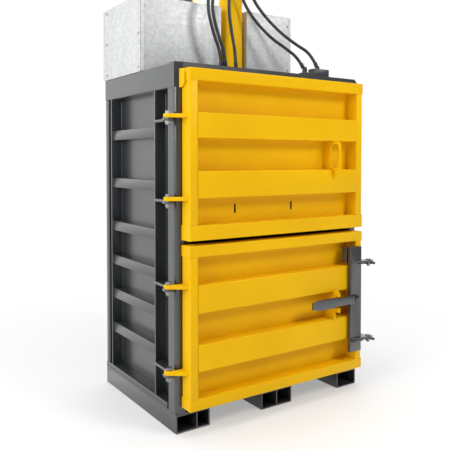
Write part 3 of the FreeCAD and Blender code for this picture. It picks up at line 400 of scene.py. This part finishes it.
class Dress(Enum):
    """The machine's finishes, each with the record's slot that it stands for."""

    YELLOW = EnamelFinish("yellow_enamel", "yellow_paint", (0.87, 0.50, 0.0022),
                          (0.80, 0.445, 0.0018), (0.80, 0.55, 0.10), 0.38, 0.2, shine=0.1)
    GREY = EnamelFinish("grey_enamel", "grey_paint", (0.030, 0.034, 0.037),
                        (0.023, 0.026, 0.029), (0.13, 0.13, 0.13), 0.3, 0.2, coat=0.5,
                        shine=0.9)
    MOTOR = EnamelFinish("motor_enamel", "motor_paint", (0.10, 0.14, 0.18),
                         (0.08, 0.11, 0.15), (0.25, 0.25, 0.24), 0.4)
    ZINC_SHEET = ZincSheetFinish("zinc_sheet", "galvanised")
    PLATED = MetalFinish("plated_steel", "zinc_steel", (0.34, 0.34, 0.33), (0.22, 0.22, 0.22), 0.4)
    MACHINED = MetalFinish("machined_steel", "bare_steel", (0.5, 0.5, 0.5), (0.36, 0.36, 0.36),
                           0.35)
    BLACKENED = MetalFinish("blackened_steel", "bare_steel", (0.06, 0.06, 0.062),
                            (0.035, 0.035, 0.036), 0.45)
    CHROME = MetalFinish("hard_chrome_rod", "hard_chrome", (0.86, 0.87, 0.88),
                         (0.8, 0.8, 0.82), 0.14, 300.0, (1.0, 1.0, 6.0), 0.00005)
    BRASS = MetalFinish("turned_brass", "brass", (0.83, 0.62, 0.28), (0.66, 0.47, 0.19), 0.26)
    HOSE = RubberFinish("hose_cover", "hose_rubber")
    PLASTIC = MouldedFinish("black_moulding", "black_plastic")


class Wardrobe:
    """Makes each finish once and puts it on pieces."""

    def __init__(self) -> None:
        """Build every finish's material."""
        self.materials = {dress: dress.value.build() for dress in Dress}
        self.by_slot = {dress.value.slot: dress for dress in reversed(Dress)}

    def wear(self, piece: bpy.types.Object, dress: Dress) -> bpy.types.Object:
        """Put a finish on a piece.

        Args:
            piece: the object to dress.
            dress: the finish.

        Returns:
            The same piece.
        """
        piece.data.materials.clear()
        piece.data.materials.append(self.materials[dress])
        return piece

    def dress_node(self, node: str) -> Dress:
        """Give a carried-over CAD node its finish.

        Args:
            node: the node's name.

        Returns:
            The finish that it got.
        """
        slots = {part["node"]: part["material_slot"] for part in frame["record"]["subparts"]}
        dress = self.by_slot[slots[node]]
        for material_slot in frame["nodes"][node].material_slots:
            material_slot.material = self.materials[dress]
        return dress


# ---- Mesh helpers -------------------------------------------------------

def new_piece(name: str, mesh: bmesh.types.BMesh, body: str,
              smooth: bool = True) -> bpy.types.Object:
    """Turn a bmesh into an object that rides on a body.

    Args:
        name: the piece's name.
        mesh: its geometry, which is freed.
        body: the body that it rides on.
        smooth: whether its faces are shaded smooth.

    Returns:
        The new object.
    """
    bmesh.ops.recalc_face_normals(mesh, faces=mesh.faces)
    for face in mesh.faces:
        face.smooth = smooth
    data = bpy.data.meshes.new(name)
    mesh.to_mesh(data)
    mesh.free()
    piece = bpy.data.objects.new(name, data)
    bpy.context.scene.collection.objects.link(piece)
    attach(piece, body)
    return piece


def apply_modifiers(piece: bpy.types.Object) -> None:
    """Bake a piece's modifiers into its mesh.

    Args:
        piece: the object, whose old mesh is removed.
    """
    graph = bpy.context.evaluated_depsgraph_get()
    made = bpy.data.meshes.new_from_object(piece.evaluated_get(graph))
    old = piece.data
    piece.modifiers.clear()
    piece.data = made
    bpy.data.meshes.remove(old)


def round_edges(piece: bpy.types.Object, width: float) -> None:
    """Round every edge of a plain block.

    Args:
        piece: the block.
        width: the width of the rounding.
    """
    modifier = piece.modifiers.new("edge", "BEVEL")
    modifier.width, modifier.segments = width, 2
    apply_modifiers(piece)


def node_mesh(node: str) -> bmesh.types.BMesh:
    """Copy a CAD node's mesh into a bmesh, with its doubled vertices merged.

    Args:
        node: the CAD node.

    Returns:
        The new bmesh.
    """
    source = frame["nodes"][node]
    mesh = bmesh.new()
    mesh.from_mesh(source.data)
    mesh.transform(source.matrix_world)
    bmesh.ops.remove_doubles(mesh, verts=mesh.verts, dist=1e-6)
    return mesh


def soften(node: str, body: str, width: float, segments: int = 2) -> bpy.types.Object:
    """Stand a copy with rounded edges in for a sharp-edged CAD node.

    Args:
        node: the CAD node.
        body: the body that it rides on.
        width: the width of the rounding.
        segments: the faces across each rounding.

    Returns:
        The new piece.
    """
    mesh = node_mesh(node)
    bmesh.ops.dissolve_limit(mesh, angle_limit=math.radians(0.6), verts=mesh.verts,
                             edges=mesh.edges)
    piece = new_piece(node + "_shell", mesh, body)
    rounding = piece.modifiers.new("rounding", "BEVEL")
    rounding.width = width
    rounding.segments = segments
    rounding.limit_method = "ANGLE"
    rounding.angle_limit = math.radians(40.0)
    rounding.use_clamp_overlap = True
    rounding.harden_normals = True
    apply_modifiers(piece)
    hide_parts(node)
    return piece


def box_size(node: str) -> tuple[Vector, Vector]:
    """Give a node's lowest and highest corners as vectors."""
    low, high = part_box(node)
    return Vector(low), Vector(high)


def loose_boxes(node: str) -> list[tuple[Vector, Vector]]:
    """Give the lowest and highest corners of each separate solid of a node.

    Args:
        node: the CAD node.

    Returns:
        One pair of corners for each solid.
    """
    mesh = node_mesh(node)
    waiting = set(mesh.verts)
    boxes = []
    while waiting:
        stack = [waiting.pop()]
        found = list(stack)
        while stack:
            for edge in stack.pop().link_edges:
                for vert in edge.verts:
                    if vert in waiting:
                        waiting.remove(vert)
                        stack.append(vert)
                        found.append(vert)
        boxes.append((Vector([min(v.co[i] for v in found) for i in range(3)]),
                      Vector([max(v.co[i] for v in found) for i in range(3)])))
    mesh.free()
    return sorted(boxes, key=lambda pair: tuple(pair[0]))


def add_box(mesh: bmesh.types.BMesh, low: Vector | Point, high: Vector | Point) -> None:
    """Add a block between two corners.

    Args:
        mesh: the bmesh to add to.
        low: its lowest corner.
        high: its highest corner.
    """
    made = bmesh.ops.create_cube(mesh, size=1.0)
    first, last = Vector(low), Vector(high)
    for vert in made["verts"]:
        vert.co = Vector([first[i] + (vert.co[i] + 0.5) * (last[i] - first[i]) for i in range(3)])


def add_prism(mesh: bmesh.types.BMesh, start: Vector, axis: Vector,
              rings: list[tuple[float, float]], sides: int, turn: float = 0.0) -> None:
    """Add a turned or many-sided solid along an axis.

    Args:
        mesh: the bmesh to add to.
        start: the point where the axis begins.
        axis: the direction of the axis.
        rings: distance along the axis and radius of each ring.
        sides: corners round each ring.
        turn: the first corner's angle.
    """
    spin = UP.rotation_difference(axis.normalized()).to_matrix()
    loops = []
    for along, radius in rings:
        loop = []
        for i in range(sides):
            angle = turn + 2 * math.pi * i / sides
            local = Vector((radius * math.cos(angle), radius * math.sin(angle), along))
            loop.append(mesh.verts.new(start + spin @ local))
        loops.append(loop)
    for below, above in zip(loops, loops[1:]):
        for i in range(sides):
            j = (i + 1) % sides
            mesh.faces.new((below[i], below[j], above[j], above[i]))
    mesh.faces.new(list(reversed(loops[0])))
    mesh.faces.new(loops[-1])


def sharpen(piece: bpy.types.Object, degrees: float = 32.0) -> None:
    """Keep edges sharper than an angle crisp on a smooth-shaded piece.

    Args:
        piece: the object.
        degrees: the angle.
    """
    mesh = bmesh.new()
    mesh.from_mesh(piece.data)
    limit = math.radians(degrees)
    for edge in mesh.edges:
        edge.smooth = len(edge.link_faces) == 2 and edge.calc_face_angle(0.0) < limit
    mesh.to_mesh(piece.data)
    mesh.free()


# ---- Studio -------------------------------------------------------------

@dataclass(frozen=True)
class Lamp:
    """One square light: where it hangs, what it looks at, its side and its power in watts."""

    name: str
    place: Point
    target: Point
    size: float
    power: float


@dataclass
class Studio:
    """Camera, floor and soft lights."""

    eye: Point = (-2.2217, -3.2525, 1.47)
    heading: float = math.radians(33.8)
    tilt: float = math.radians(1.7)
    lens: float = 48.0
    sensor: float = 36.0
    shift: float = -0.104
    floor_size: float = 60.0
    backdrop: Colour = (1.0, 1.0, 1.0)
    sweep_turn: tuple[float, float] = (-0.35, 0.45)
    room_level: float = 0.12
    sweep_level: float = 1.2
    fade: tuple[float, float] = (0.9, 3.2)
    least_glow: float = 0.35
    lamps: tuple[Lamp, ...] = (
        Lamp("key_light", (2.4, -5.4, 5.0), (0.0, -0.4, 1.3), 1.9, 208.0),
        Lamp("left_light", (-5.6, -1.6, 3.4), (-0.5, 0.0, 1.2), 3.0, 175.0),
        Lamp("top_light", (-0.3, -0.8, 6.8), (0.0, -0.3, 1.0), 4.0, 150.0),
    )

    def build(self) -> None:
        """Put up the camera, the floor, the lights and the sky."""
        self.place_camera()
        self.lay_floor()
        self.light()

    def place_camera(self) -> None:
        """Make the scene's camera."""
        data = bpy.data.cameras.new("camera")
        data.lens = self.lens
        data.sensor_width = self.sensor
        data.shift_y = self.shift
        camera = bpy.data.objects.new("camera", data)
        camera.location = self.eye
        camera.rotation_euler = (math.pi / 2 - self.tilt, 0.0, -self.heading)
        bpy.context.scene.collection.objects.link(camera)
        bpy.context.scene.camera = camera

    def lay_floor(self) -> None:
        """Make the pale floor."""
        mesh = bmesh.new()
        bmesh.ops.create_grid(mesh, x_segments=4, y_segments=4, size=self.floor_size / 2)
        data = bpy.data.meshes.new("floor")
        mesh.to_mesh(data)
        mesh.free()
        floor = bpy.data.objects.new("floor", data)
        floor.location = (0.0, 0.0, -0.0005)
        bpy.context.scene.collection.objects.link(floor)
        s = Shader("pale_floor")
        s.link(s.ramp(s.noise(0.6, 3.0), 0.3, 0.7, (0.86, 0.86, 0.86), (0.9, 0.9, 0.9)),
               s.bsdf.inputs["Base Color"])
        s.bsdf.inputs["Roughness"].default_value = 0.7
        s.bsdf.inputs["Specular IOR Level"].default_value = 0.2
        reach = s.add("ShaderNodeVectorMath", operation="LENGTH")
        s.link(s.place(), reach.inputs[0])
        fade = s.add("ShaderNodeMapRange")
        fade.interpolation_type = "SMOOTHSTEP"
        fade.inputs["From Min"].default_value, fade.inputs["From Max"].default_value = self.fade
        fade.inputs["To Min"].default_value = self.least_glow
        s.link(reach.outputs["Value"], fade.inputs["Value"])
        glow = s.add("ShaderNodeEmission")
        glow.inputs["Color"].default_value = (*self.backdrop, 1.0)
        blend = s.add("ShaderNodeMixShader")
        s.link(fade.outputs["Result"], blend.inputs["Fac"])
        s.link(s.bsdf.outputs["BSDF"], blend.inputs[1])
        s.link(glow.outputs["Emission"], blend.inputs[2])
        ending = next(n for n in s.material.node_tree.nodes if n.type == "OUTPUT_MATERIAL")
        s.link(blend.outputs["Shader"], ending.inputs["Surface"])
        data.materials.append(s.material)

    def light(self) -> None:
        """Set the sky, bright behind the object and dim in front of it, and hang the lights."""
        world = bpy.data.worlds.new("studio")
        world.use_nodes = True
        tree = world.node_tree
        sky = tree.nodes["Background"]
        sky.inputs["Color"].default_value = (*self.backdrop, 1.0)
        aim = tree.nodes.new("ShaderNodeTexCoord")
        parts = tree.nodes.new("ShaderNodeSeparateXYZ")
        tree.links.new(aim.outputs["Generated"], parts.inputs[0])
        sweep = tree.nodes.new("ShaderNodeMapRange")
        sweep.interpolation_type = "SMOOTHSTEP"
        levels = (*self.sweep_turn, self.room_level, self.sweep_level)
        for socket, value in zip(("From Min", "From Max", "To Min", "To Max"), levels):
            sweep.inputs[socket].default_value = value
        tree.links.new(parts.outputs["Y"], sweep.inputs["Value"])
        seen = tree.nodes.new("ShaderNodeLightPath")
        level = tree.nodes.new("ShaderNodeMix")
        tree.links.new(seen.outputs["Is Camera Ray"], level.inputs["Factor"])
        tree.links.new(sweep.outputs["Result"], level.inputs[2])
        level.inputs[3].default_value = 1.0
        tree.links.new(level.outputs[0], sky.inputs["Strength"])
        bpy.context.scene.world = world
        bpy.context.scene.view_settings.view_transform = "Standard"
        for lamp in self.lamps:
            self.hang(lamp)

    def hang(self, lamp: Lamp) -> None:
        """Hang one light and aim it.

        Args:
            lamp: the light.
        """
        data = bpy.data.lights.new(lamp.name, "AREA")
        data.size = lamp.size
        data.energy = lamp.power
        hung = bpy.data.objects.new(lamp.name, data)
        hung.location = lamp.place
        aim = Vector(lamp.target) - Vector(lamp.place)
        hung.rotation_euler = aim.to_track_quat("-Z", "Y").to_euler()
        bpy.context.scene.collection.objects.link(hung)


# ---- Hoses --------------------------------------------------------------

@dataclass(frozen=True)
class HoseRoute:
    """One hose: the CAD node that it stands for, its route and its real length, which nothing here
    reads.
    """

    node: str
    points: tuple[Point, ...]
    length: float


@dataclass
class HoseSet:
    """The five black hoses with their crimped ends."""

    wardrobe: Wardrobe
    diameter: float = 0.020
    ferrule_length: float = 0.034
    ferrule_radius: float = 0.0125
    routes: tuple[HoseRoute, ...] = (
        HoseRoute("hose_left_outer", (
            (-0.070, -0.105, 2.990), (-0.072, -0.107, 2.895), (-0.120, -0.130, 2.735),
            (-0.225, -0.158, 2.580), (-0.300, -0.182, 2.420), (-0.262, -0.190, 2.250),
            (-0.200, -0.186, 2.125), (-0.195, -0.185, 2.045)), 1.016),
        HoseRoute("hose_left_inner", (
            (-0.035, -0.105, 2.990), (-0.037, -0.108, 2.895), (-0.085, -0.135, 2.735),
            (-0.194, -0.164, 2.580), (-0.272, -0.186, 2.420), (-0.234, -0.195, 2.250),
            (-0.172, -0.189, 2.125), (-0.167, -0.187, 2.045)), 1.020),
        HoseRoute("hose_front", (
            (0.0, -0.105, 2.990), (-0.003, -0.107, 2.895), (-0.045, -0.125, 2.735),
            (-0.098, -0.142, 2.575), (-0.120, -0.152, 2.420), (-0.108, -0.165, 2.270),
            (-0.088, -0.180, 2.145), (-0.086, -0.183, 2.045)), 0.965),
        HoseRoute("hose_right_inner", (
            (0.035, -0.105, 2.990), (0.034, -0.107, 2.885), (0.002, -0.116, 2.755),
            (-0.027, -0.121, 2.620), (0.0, -0.125, 2.490), (0.086, -0.148, 2.360),
            (0.185, -0.190, 2.256), (0.272, -0.234, 2.192), (0.340, -0.276, 2.130),
            (0.368, -0.294, 2.066)), 1.102),
        HoseRoute("hose_right_outer", (
            (0.070, -0.105, 2.990), (0.069, -0.107, 2.885), (0.048, -0.112, 2.755),
            (0.045, -0.115, 2.620), (0.092, -0.122, 2.500), (0.172, -0.138, 2.405),
            (0.268, -0.168, 2.312), (0.372, -0.212, 2.232), (0.456, -0.270, 2.170),
            (0.480, -0.300, 2.080)), 1.112),
    )

    def build(self) -> None:
        """Make every hose and its two crimped ends."""
        for route in self.routes:
            self.lay(route)
            self.crimp(route)

    def lay(self, route: HoseRoute) -> bpy.types.Object:
        """Make one hose as a smooth curve.

        Args:
            route: the hose.

        Returns:
            The curve object.
        """
        data = bpy.data.curves.new(route.node + "_line", "CURVE")
        data.dimensions = "3D"
        data.bevel_depth = 1.0
        data.bevel_resolution = 6
        data.resolution_u = 10
        data.use_fill_caps = True
        spline = data.splines.new("NURBS")
        spline.points.add(len(route.points) - 1)
        for control, point in zip(spline.points, route.points):
            control.co = (*point, 1.0)
            control.radius = self.diameter / 2
        spline.order_u = 3
        spline.use_endpoint_u = True
        hose = bpy.data.objects.new(route.node + "_line", data)
        bpy.context.scene.collection.objects.link(hose)
        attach(hose, FRAME_BODY)
        self.wardrobe.wear(hose, Dress.HOSE)
        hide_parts(route.node)
        return hose

    def crimp(self, route: HoseRoute) -> None:
        """Make the crimped steel ferrules at both ends of a hose.

        Args:
            route: the hose.
        """
        ends = ((route.points[0], route.points[1]), (route.points[-1], route.points[-2]))
        mesh = bmesh.new()
        for end, inward in ends:
            start = Vector(end)
            axis = (Vector(inward) - start).normalized()
            r = self.ferrule_radius
            length = self.ferrule_length
            rings = [(0.0, r * 0.9), (0.002, r), (length * 0.3, r), (length * 0.34, r * 0.93),
                     (length * 0.4, r * 0.93), (length * 0.44, r), (length - 0.003, r),
                     (length, r * 0.86)]
            add_prism(mesh, start, axis, rings, 24)
        piece = new_piece(route.node + "_ferrules", mesh, FRAME_BODY)
        sharpen(piece)
        self.wardrobe.wear(piece, Dress.BLACKENED)


# ---- Hose ends and housing trim ------------------------------------------

@dataclass
class HoseEnds:
    """The hexagon unions under and over the hoses; the front one is brass."""

    wardrobe: Wardrobe
    flange: float = 0.0035
    roof_reach: float = 2.3
    brass_x: float = -0.086
    brass_within: float = 0.03

    def build(self) -> None:
        """Make a union at each of the model's fittings."""
        dark, bright = bmesh.new(), bmesh.new()
        for low, high in loose_boxes("hose_fittings"):
            middle = (low + high) / 2
            on_roof = low.z < self.roof_reach
            is_front = on_roof and abs(middle.x - self.brass_x) < self.brass_within
            self.union(bright if is_front else dark, low, high)
        steel = new_piece("hose_unions", dark, FRAME_BODY)
        brass = new_piece("front_hose_union", bright, FRAME_BODY)
        for piece, dress in ((steel, Dress.BLACKENED), (brass, Dress.BRASS)):
            sharpen(piece)
            self.wardrobe.wear(piece, dress)
        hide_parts("hose_fittings")

    def union(self, mesh: bmesh.types.BMesh, low: Vector, high: Vector) -> None:
        """Add one union: a flange, a hexagon with chamfered ends and a round neck.

        Args:
            mesh: the bmesh to add to.
            low: the lowest corner of the union's room.
            high: the highest corner.
        """
        across = min(high.x - low.x, high.y - low.y) / 2
        height = high.z - low.z
        foot = Vector(((low.x + high.x) / 2, (low.y + high.y) / 2, low.z))
        neck = [(0.0, across), (self.flange, across), (self.flange, across * 0.8),
                (height, across * 0.8)]
        add_prism(mesh, foot, UP, neck, 28)
        hexagon = [(self.flange, across * 0.86), (self.flange + 0.0015, across * 0.97),
                   (height * 0.66 - 0.0015, across * 0.97), (height * 0.66, across * 0.86)]
        add_prism(mesh, foot, UP, hexagon, 6)


@dataclass
class HousingTrim:
    """Folded corner strips on the housing and the valve that shows over its front edge."""

    wardrobe: Wardrobe
    strip: float = 0.022
    sheet: float = 0.0012
    valve_left: float = 0.252
    valve_back: float = 0.030
    valve_size: Point = (0.112, 0.046, 0.034)
    screw_shares: tuple[float, ...] = (0.18, 0.5, 0.82)
    foot_gap: float = 0.002
    edge: float = 0.003

    def build(self) -> None:
        """Make the strips, the valve block, its screws and its brass union."""
        low, high = box_size("housing_front")
        side_low, side_high = box_size("housing_side_left")
        top = box_size("housing_top")[1].z
        left, front, foot = side_low.x, low.y, low.z + self.foot_gap
        mesh = bmesh.new()
        for x0, x1 in ((left - self.sheet, left + self.strip),
                       (high.x - self.strip, high.x + self.sheet)):
            add_box(mesh, (x0, front - self.sheet, foot), (x1, front, top))
        for y0, y1 in ((front - self.sheet, front + self.strip),
                       (side_high.y - self.strip, side_high.y)):
            add_box(mesh, (left - self.sheet, y0, foot), (left, y1, top))
        self.wardrobe.wear(new_piece("housing_corner_strips", mesh, FRAME_BODY, False),
                           Dress.ZINC_SHEET)
        self.valve(Vector((left + self.valve_left, front + self.valve_back, top)))

    def valve(self, corner: Vector) -> None:
        """Make the small valve on the housing's top.

        Args:
            corner: the block's lowest left front corner.
        """
        size = Vector(self.valve_size)
        block = bmesh.new()
        add_box(block, corner, corner + size)
        piece = new_piece("top_valve_block", block, FRAME_BODY, False)
        round_edges(piece, self.edge)
        self.wardrobe.wear(piece, Dress.PLASTIC)
        screws = bmesh.new()
        for share in self.screw_shares:
            start = corner + Vector((size.x * share, -0.005, size.z * 0.42))
            add_prism(screws, start, BACKWARD,
                      [(0.0, 0.0052), (0.001, 0.006), (0.006, 0.006)], 6)
        self.wardrobe.wear(new_piece("top_valve_screws", screws, FRAME_BODY), Dress.PLATED)
        union = bmesh.new()
        start = corner + Vector((size.x - 0.002, size.y * 0.35, size.z * 0.5))
        add_prism(union, start, RIGHTWARD,
                  [(0.0, 0.009), (0.012, 0.009), (0.012, 0.013), (0.014, 0.0145), (0.036, 0.0145),
                   (0.038, 0.013), (0.038, 0.0095), (0.060, 0.0095), (0.062, 0.012),
                   (0.080, 0.012), (0.082, 0.010)], 6)
        piece = new_piece("top_valve_union", union, FRAME_BODY)
        sharpen(piece)
        self.wardrobe.wear(piece, Dress.BRASS)


@dataclass
class LockTrim:
    """Flat lug tails across the lock bar's front, and the round head of its lever's pin."""

    wardrobe: Wardrobe
    tail_thickness: float = 0.010
    tail_reach: float = 0.024
    tail_insets: tuple[float, float] = (0.006, 0.062)
    head_radius: float = 0.011
    head_place: tuple[float, float] = (0.030, 0.010)
    head_height: float = 0.007
    edge: float = 0.002

    def build(self) -> None:
        """Make the tails and the head."""
        low, high = box_size("lock_bar")
        face = high.y - BAR_DEEP
        pins = sorted(((a.z + b.z) / 2 for a, b in loose_boxes("lock_bar_pins")))
        mesh = bmesh.new()
        for z, inset in zip(pins, self.tail_insets):
            add_box(mesh, (low.x + inset, face - self.tail_reach, z - self.tail_thickness / 2),
                    (low.x + BAR_SPAN - 0.001, face, z + self.tail_thickness / 2))
        tails = new_piece("lock_bar_lug_tails", mesh, "lock_bar", False)
        round_edges(tails, self.edge)
        self.wardrobe.wear(tails, Dress.GREY)
        lever_low, lever_high = box_size("lock_lever")
        head = bmesh.new()
        start = Vector((lever_high.x + self.head_place[0], face - self.head_height,
                        (lever_low.z + lever_high.z) / 2 + self.head_place[1]))
        r = self.head_radius
        add_prism(head, start, BACKWARD,
                  [(0.0, r * 0.55), (0.0012, r * 0.85), (0.0035, r), (0.0068, r)], 24)
        piece = new_piece("lever_pin_head", head, "lock_bar")
        sharpen(piece, 50.0)
        self.wardrobe.wear(piece, Dress.BLACKENED)


@dataclass
class DoorTrim:
    """A dark grey block that paints the shade behind the lock bar, and washers under the hinge
    nuts.
    """

    wardrobe: Wardrobe
    shade_block_size: Point = (0.053, 0.040, 0.100)
    shade_block_place: tuple[float, float] = (-0.131, 0.096)
    shade_block_gap: float = 0.004
    washer: float = 0.0026
    edge: float = 0.003

    def build(self) -> None:
        """Make the painted shade block and the washers."""
        # The dark grey block stands for the shade behind the lock bar's top: it is painted shade.
        low, high = box_size("lower_door")
        corner = Vector((high.x + self.shade_block_place[0], low.y + self.shade_block_gap,
                         high.z - self.shade_block_place[1] - self.shade_block_size[2]))
        mesh = bmesh.new()
        add_box(mesh, corner, corner + Vector(self.shade_block_size))
        piece = new_piece("lock_bar_rest", mesh, "lower_door", False)
        round_edges(piece, self.edge)
        self.wardrobe.wear(piece, Dress.GREY)
        washers = bmesh.new()
        for nut_low, nut_high in loose_boxes("hinge_nuts"):
            middle = (nut_low + nut_high) / 2
            radius = (nut_high.x - nut_low.x) / 2
            foot = Vector((middle.x, middle.y, nut_high.z - self.washer))
            rings = [(0.0, radius * 1.08), (0.0004, radius * 1.12), (0.0022, radius * 1.12),
                     (self.washer, radius * 1.08)]
            add_prism(washers, foot, UP, rings, 32)
        piece = new_piece("hinge_washers", washers, FRAME_BODY)
        sharpen(piece)
        self.wardrobe.wear(piece, Dress.PLATED)


# ---- Welds --------------------------------------------------------------

@dataclass
class WeldSeams:
    """Beads along the joins that show: posts, fins, ribs, brackets, lugs, doors and lock."""

    wardrobe: Wardrobe
    bead: float = 0.0032
    ripple: float = 0.0065
    sides: int = 6
    swells: tuple[float, float] = (0.82, 1.0)
    taper: float = 0.55
    post_corner: float = 0.024
    rear_corner: float = 0.012
    ring_steps: int = 48
    door_bead: float = 0.55
    door_step: float = 0.0015

    def build(self) -> None:
        """Make one mesh of beads for each body."""
        self.rng = random.Random(WELD_SEED)
        self.frame_seams()
        self.door_seams("upper_door", "upper_door_keeper")
        self.door_seams("lower_door", "lower_door_keeper")
        self.lock_seams()

    def run(self, mesh: bmesh.types.BMesh, start: Point, end: Point, bead: float = 0.0) -> None:
        """Add one bead: a rippled half-round cord between two points.

        Args:
            mesh: the bmesh to add to.
            start: where the bead begins.
            end: where it ends.
            bead: its radius, or the usual one at 0.
        """
        radius = bead or self.bead
        first, last = Vector(start), Vector(end)
        axis = last - first
        count = max(3, round(axis.length / self.ripple))
        rings = []
        for i in range(count + 1):
            ends = self.taper if i in (0, count) else 1.0
            thick = radius * self.swells[i % 2] * ends * self.rng.uniform(0.9, 1.08)
            rings.append((axis.length * i / count, thick))
        add_prism(mesh, first, axis, rings, self.sides, self.rng.uniform(0.0, 1.0))

    def finish(self, name: str, mesh: bmesh.types.BMesh, body: str, dress: Dress) -> None:
        """Turn the beads into a piece.

        Args:
            name: the piece's name.
            mesh: the beads.
            body: the body that they ride on.
            dress: their finish.
        """
        self.wardrobe.wear(new_piece(name, mesh, body), dress)

    def frame_seams(self) -> None:
        """Weld the side walls' ribs, fins and posts, the brackets and the roof."""
        mesh = bmesh.new()
        for side in (-1.0, 1.0):
            ribs = "side_ribs_left" if side < 0 else "side_ribs_right"
            for low, high in loose_boxes(ribs):
                outer = low.x if side < 0 else high.x
                wall = high.x if side < 0 else low.x
                for z in (low.z, high.z):
                    self.run(mesh, (wall, low.y, z), (wall, high.y, z))
                for y in (low.y, high.y):
                    self.run(mesh, (outer, y, low.z), (outer, y, high.z))
        for low, high in loose_boxes("side_fins"):
            wall = high.x if low.x < 0 else low.x
            for y in (low.y, high.y):
                self.run(mesh, (wall, y, low.z), (wall, y, high.z))
            for z in (low.z, high.z):
                self.run(mesh, (low.x, low.y, z), (high.x, low.y, z))
        post_low, post_high = box_size("front_posts")
        for low, high in loose_boxes("hinge_brackets"):
            for z in (low.z, high.z):
                self.run(mesh, (post_low.x, post_high.y, z),
                         (post_low.x, post_low.y + self.post_corner, z), self.bead * 1.3)
        for low, high in loose_boxes("lock_brackets"):
            for z in (low.z, high.z):
                self.run(mesh, (low.x + 0.004, post_low.y, z),
                         (post_high.x - self.post_corner, post_low.y, z))
        for low, high in loose_boxes("rear_posts"):
            x = low.x if low.x < 0 else high.x
            self.run(mesh, (x, low.y + self.rear_corner, low.z),
                     (x, high.y - self.rear_corner, low.z))
        for low, high in loose_boxes("front_posts"):
            x = low.x if low.x < 0 else high.x
            for z in (low.z, high.z):
                self.run(mesh, (x, low.y + 0.026, z), (x, high.y - self.post_corner, z))
        low, high = box_size("cylinder_mount_plate")
        for x in (low.x, high.x):
            self.run(mesh, (x, low.y, low.z), (x, high.y, low.z), self.bead * 1.5)
        self.run(mesh, (low.x, low.y, low.z), (high.x, low.y, low.z), self.bead * 1.5)
        self.finish("frame_weld_seams", mesh, FRAME_BODY, Dress.GREY)
        self.barrel_ring()

    def barrel_ring(self) -> None:
        """Weld the barrel to its mounting plate."""
        mesh = bmesh.new()
        low, high = box_size("cylinder_barrel")
        radius = (high.x - low.x) / 2
        for i in range(self.ring_steps):
            ends = []
            for k in (i, i + 1.1):
                angle = 2 * math.pi * k / self.ring_steps
                ends.append((radius * math.cos(angle), radius * math.sin(angle), low.z + 0.001))
            self.run(mesh, *ends, self.bead * 1.8)
        self.finish("barrel_weld_ring", mesh, FRAME_BODY, Dress.YELLOW)

    def door_seams(self, door: str, keeper: str) -> None:
        """Weld a door's lugs, its keeper and the joins of its bars and stiles.

        Args:
            door: the door's node and body.
            keeper: its keeper's node.
        """
        mesh = bmesh.new()
        low, high = box_size(door)
        right, front = high.x, low.y
        left = right - DOOR_SPAN
        side = left + self.door_step
        back = front + DOOR_DEEP - 0.006
        bead = self.bead * self.door_bead
        for z in BAR_LEVELS[door]:
            for x0, x1 in ((left + 0.004, left + STILE), (right - STILE, right - 0.004)):
                self.run(mesh, (x0, front + 0.0022, z), (x1, front + 0.0022, z), bead)
            self.run(mesh, (side, front + 0.006, z), (side, back, z), bead)
        low, high = box_size(keeper)
        for x in (low.x, high.x):
            self.run(mesh, (x, high.y, low.z + 0.045), (x, high.y, high.z - 0.02))
        for middle in HINGE_LEVELS[door]:
            for z in (middle - LUG_HALF, middle + LUG_HALF):
                self.run(mesh, (side, front + 0.022, z), (side, back, z))
        self.finish(door + "_weld_seams", mesh, door, Dress.YELLOW)

    def lock_seams(self) -> None:
        """Weld the lugs to the lock bar."""
        mesh = bmesh.new()
        low, high = box_size("lock_bar")
        face = high.y - BAR_DEEP
        for pin_low, pin_high in loose_boxes("lock_bar_pins"):
            top = pin_high.z - 0.006
            for z in (top - 0.012, top):
                self.run(mesh, (low.x + 0.01, face, z), (low.x + BAR_SPAN - 0.002, face, z))
        self.finish("lock_bar_weld_seams", mesh, "lock_bar", Dress.GREY)


# ---- Carried-over nodes -------------------------------------------------

@dataclass
class SteelWork:
    """Plates, tubes and sheets whose CAD shape is right, given rounded edges."""

    wardrobe: Wardrobe
    plate_edge: float = 0.0015
    sheet_edge: float = 0.0012
    rounded: tuple[str, ...] = (
        "skid_left", "skid_middle", "skid_right", "pressing_floor", "base_rails", "side_fins",
        "side_ribs_left", "side_ribs_right", "hinge_brackets", "lock_bar", "lock_lever",
        "lock_brackets", "lower_door_keeper", "upper_door_keeper", "roof_port_block",
        "cylinder_head_block", "upper_door", "lower_door", "housing_side_left",
        "housing_side_right", "housing_top", "housing_back", "housing_front",
    )

    def build(self) -> None:
        """Dress every node, and round the edges of those that show."""
        owner = {node: body for body, nodes in frame["record"]["behaviour"]["bodies"].items()
                 for node in nodes}
        hoses = {route.node for route in HoseSet.routes}
        for node in frame["nodes"]:
            if node in hoses:
                continue
            dress = self.wardrobe.dress_node(node)
            if node in self.rounded:
                width = self.sheet_edge if "housing" in node else self.plate_edge
                piece = soften(node, owner[node], width)
                self.wardrobe.wear(piece, dress)


def main() -> None:
    """Build every sub-assembly in turn, and report its pieces."""
    logging.basicConfig(level=logging.INFO, format="%(name)s: %(message)s")
    wardrobe = Wardrobe()
    builders = [Studio(), HoseSet(wardrobe), HoseEnds(wardrobe), SteelWork(wardrobe),
                WeldSeams(wardrobe), HousingTrim(wardrobe), LockTrim(wardrobe),
                DoorTrim(wardrobe)]
    for builder in builders:
        before = set(bpy.data.objects.keys())
        builder.build()
        made = sorted(set(bpy.data.objects.keys()) - before)
        for name in made:
            log.info("%s made %s", type(builder).__name__, name)


if __name__ == "__main__":
    main()
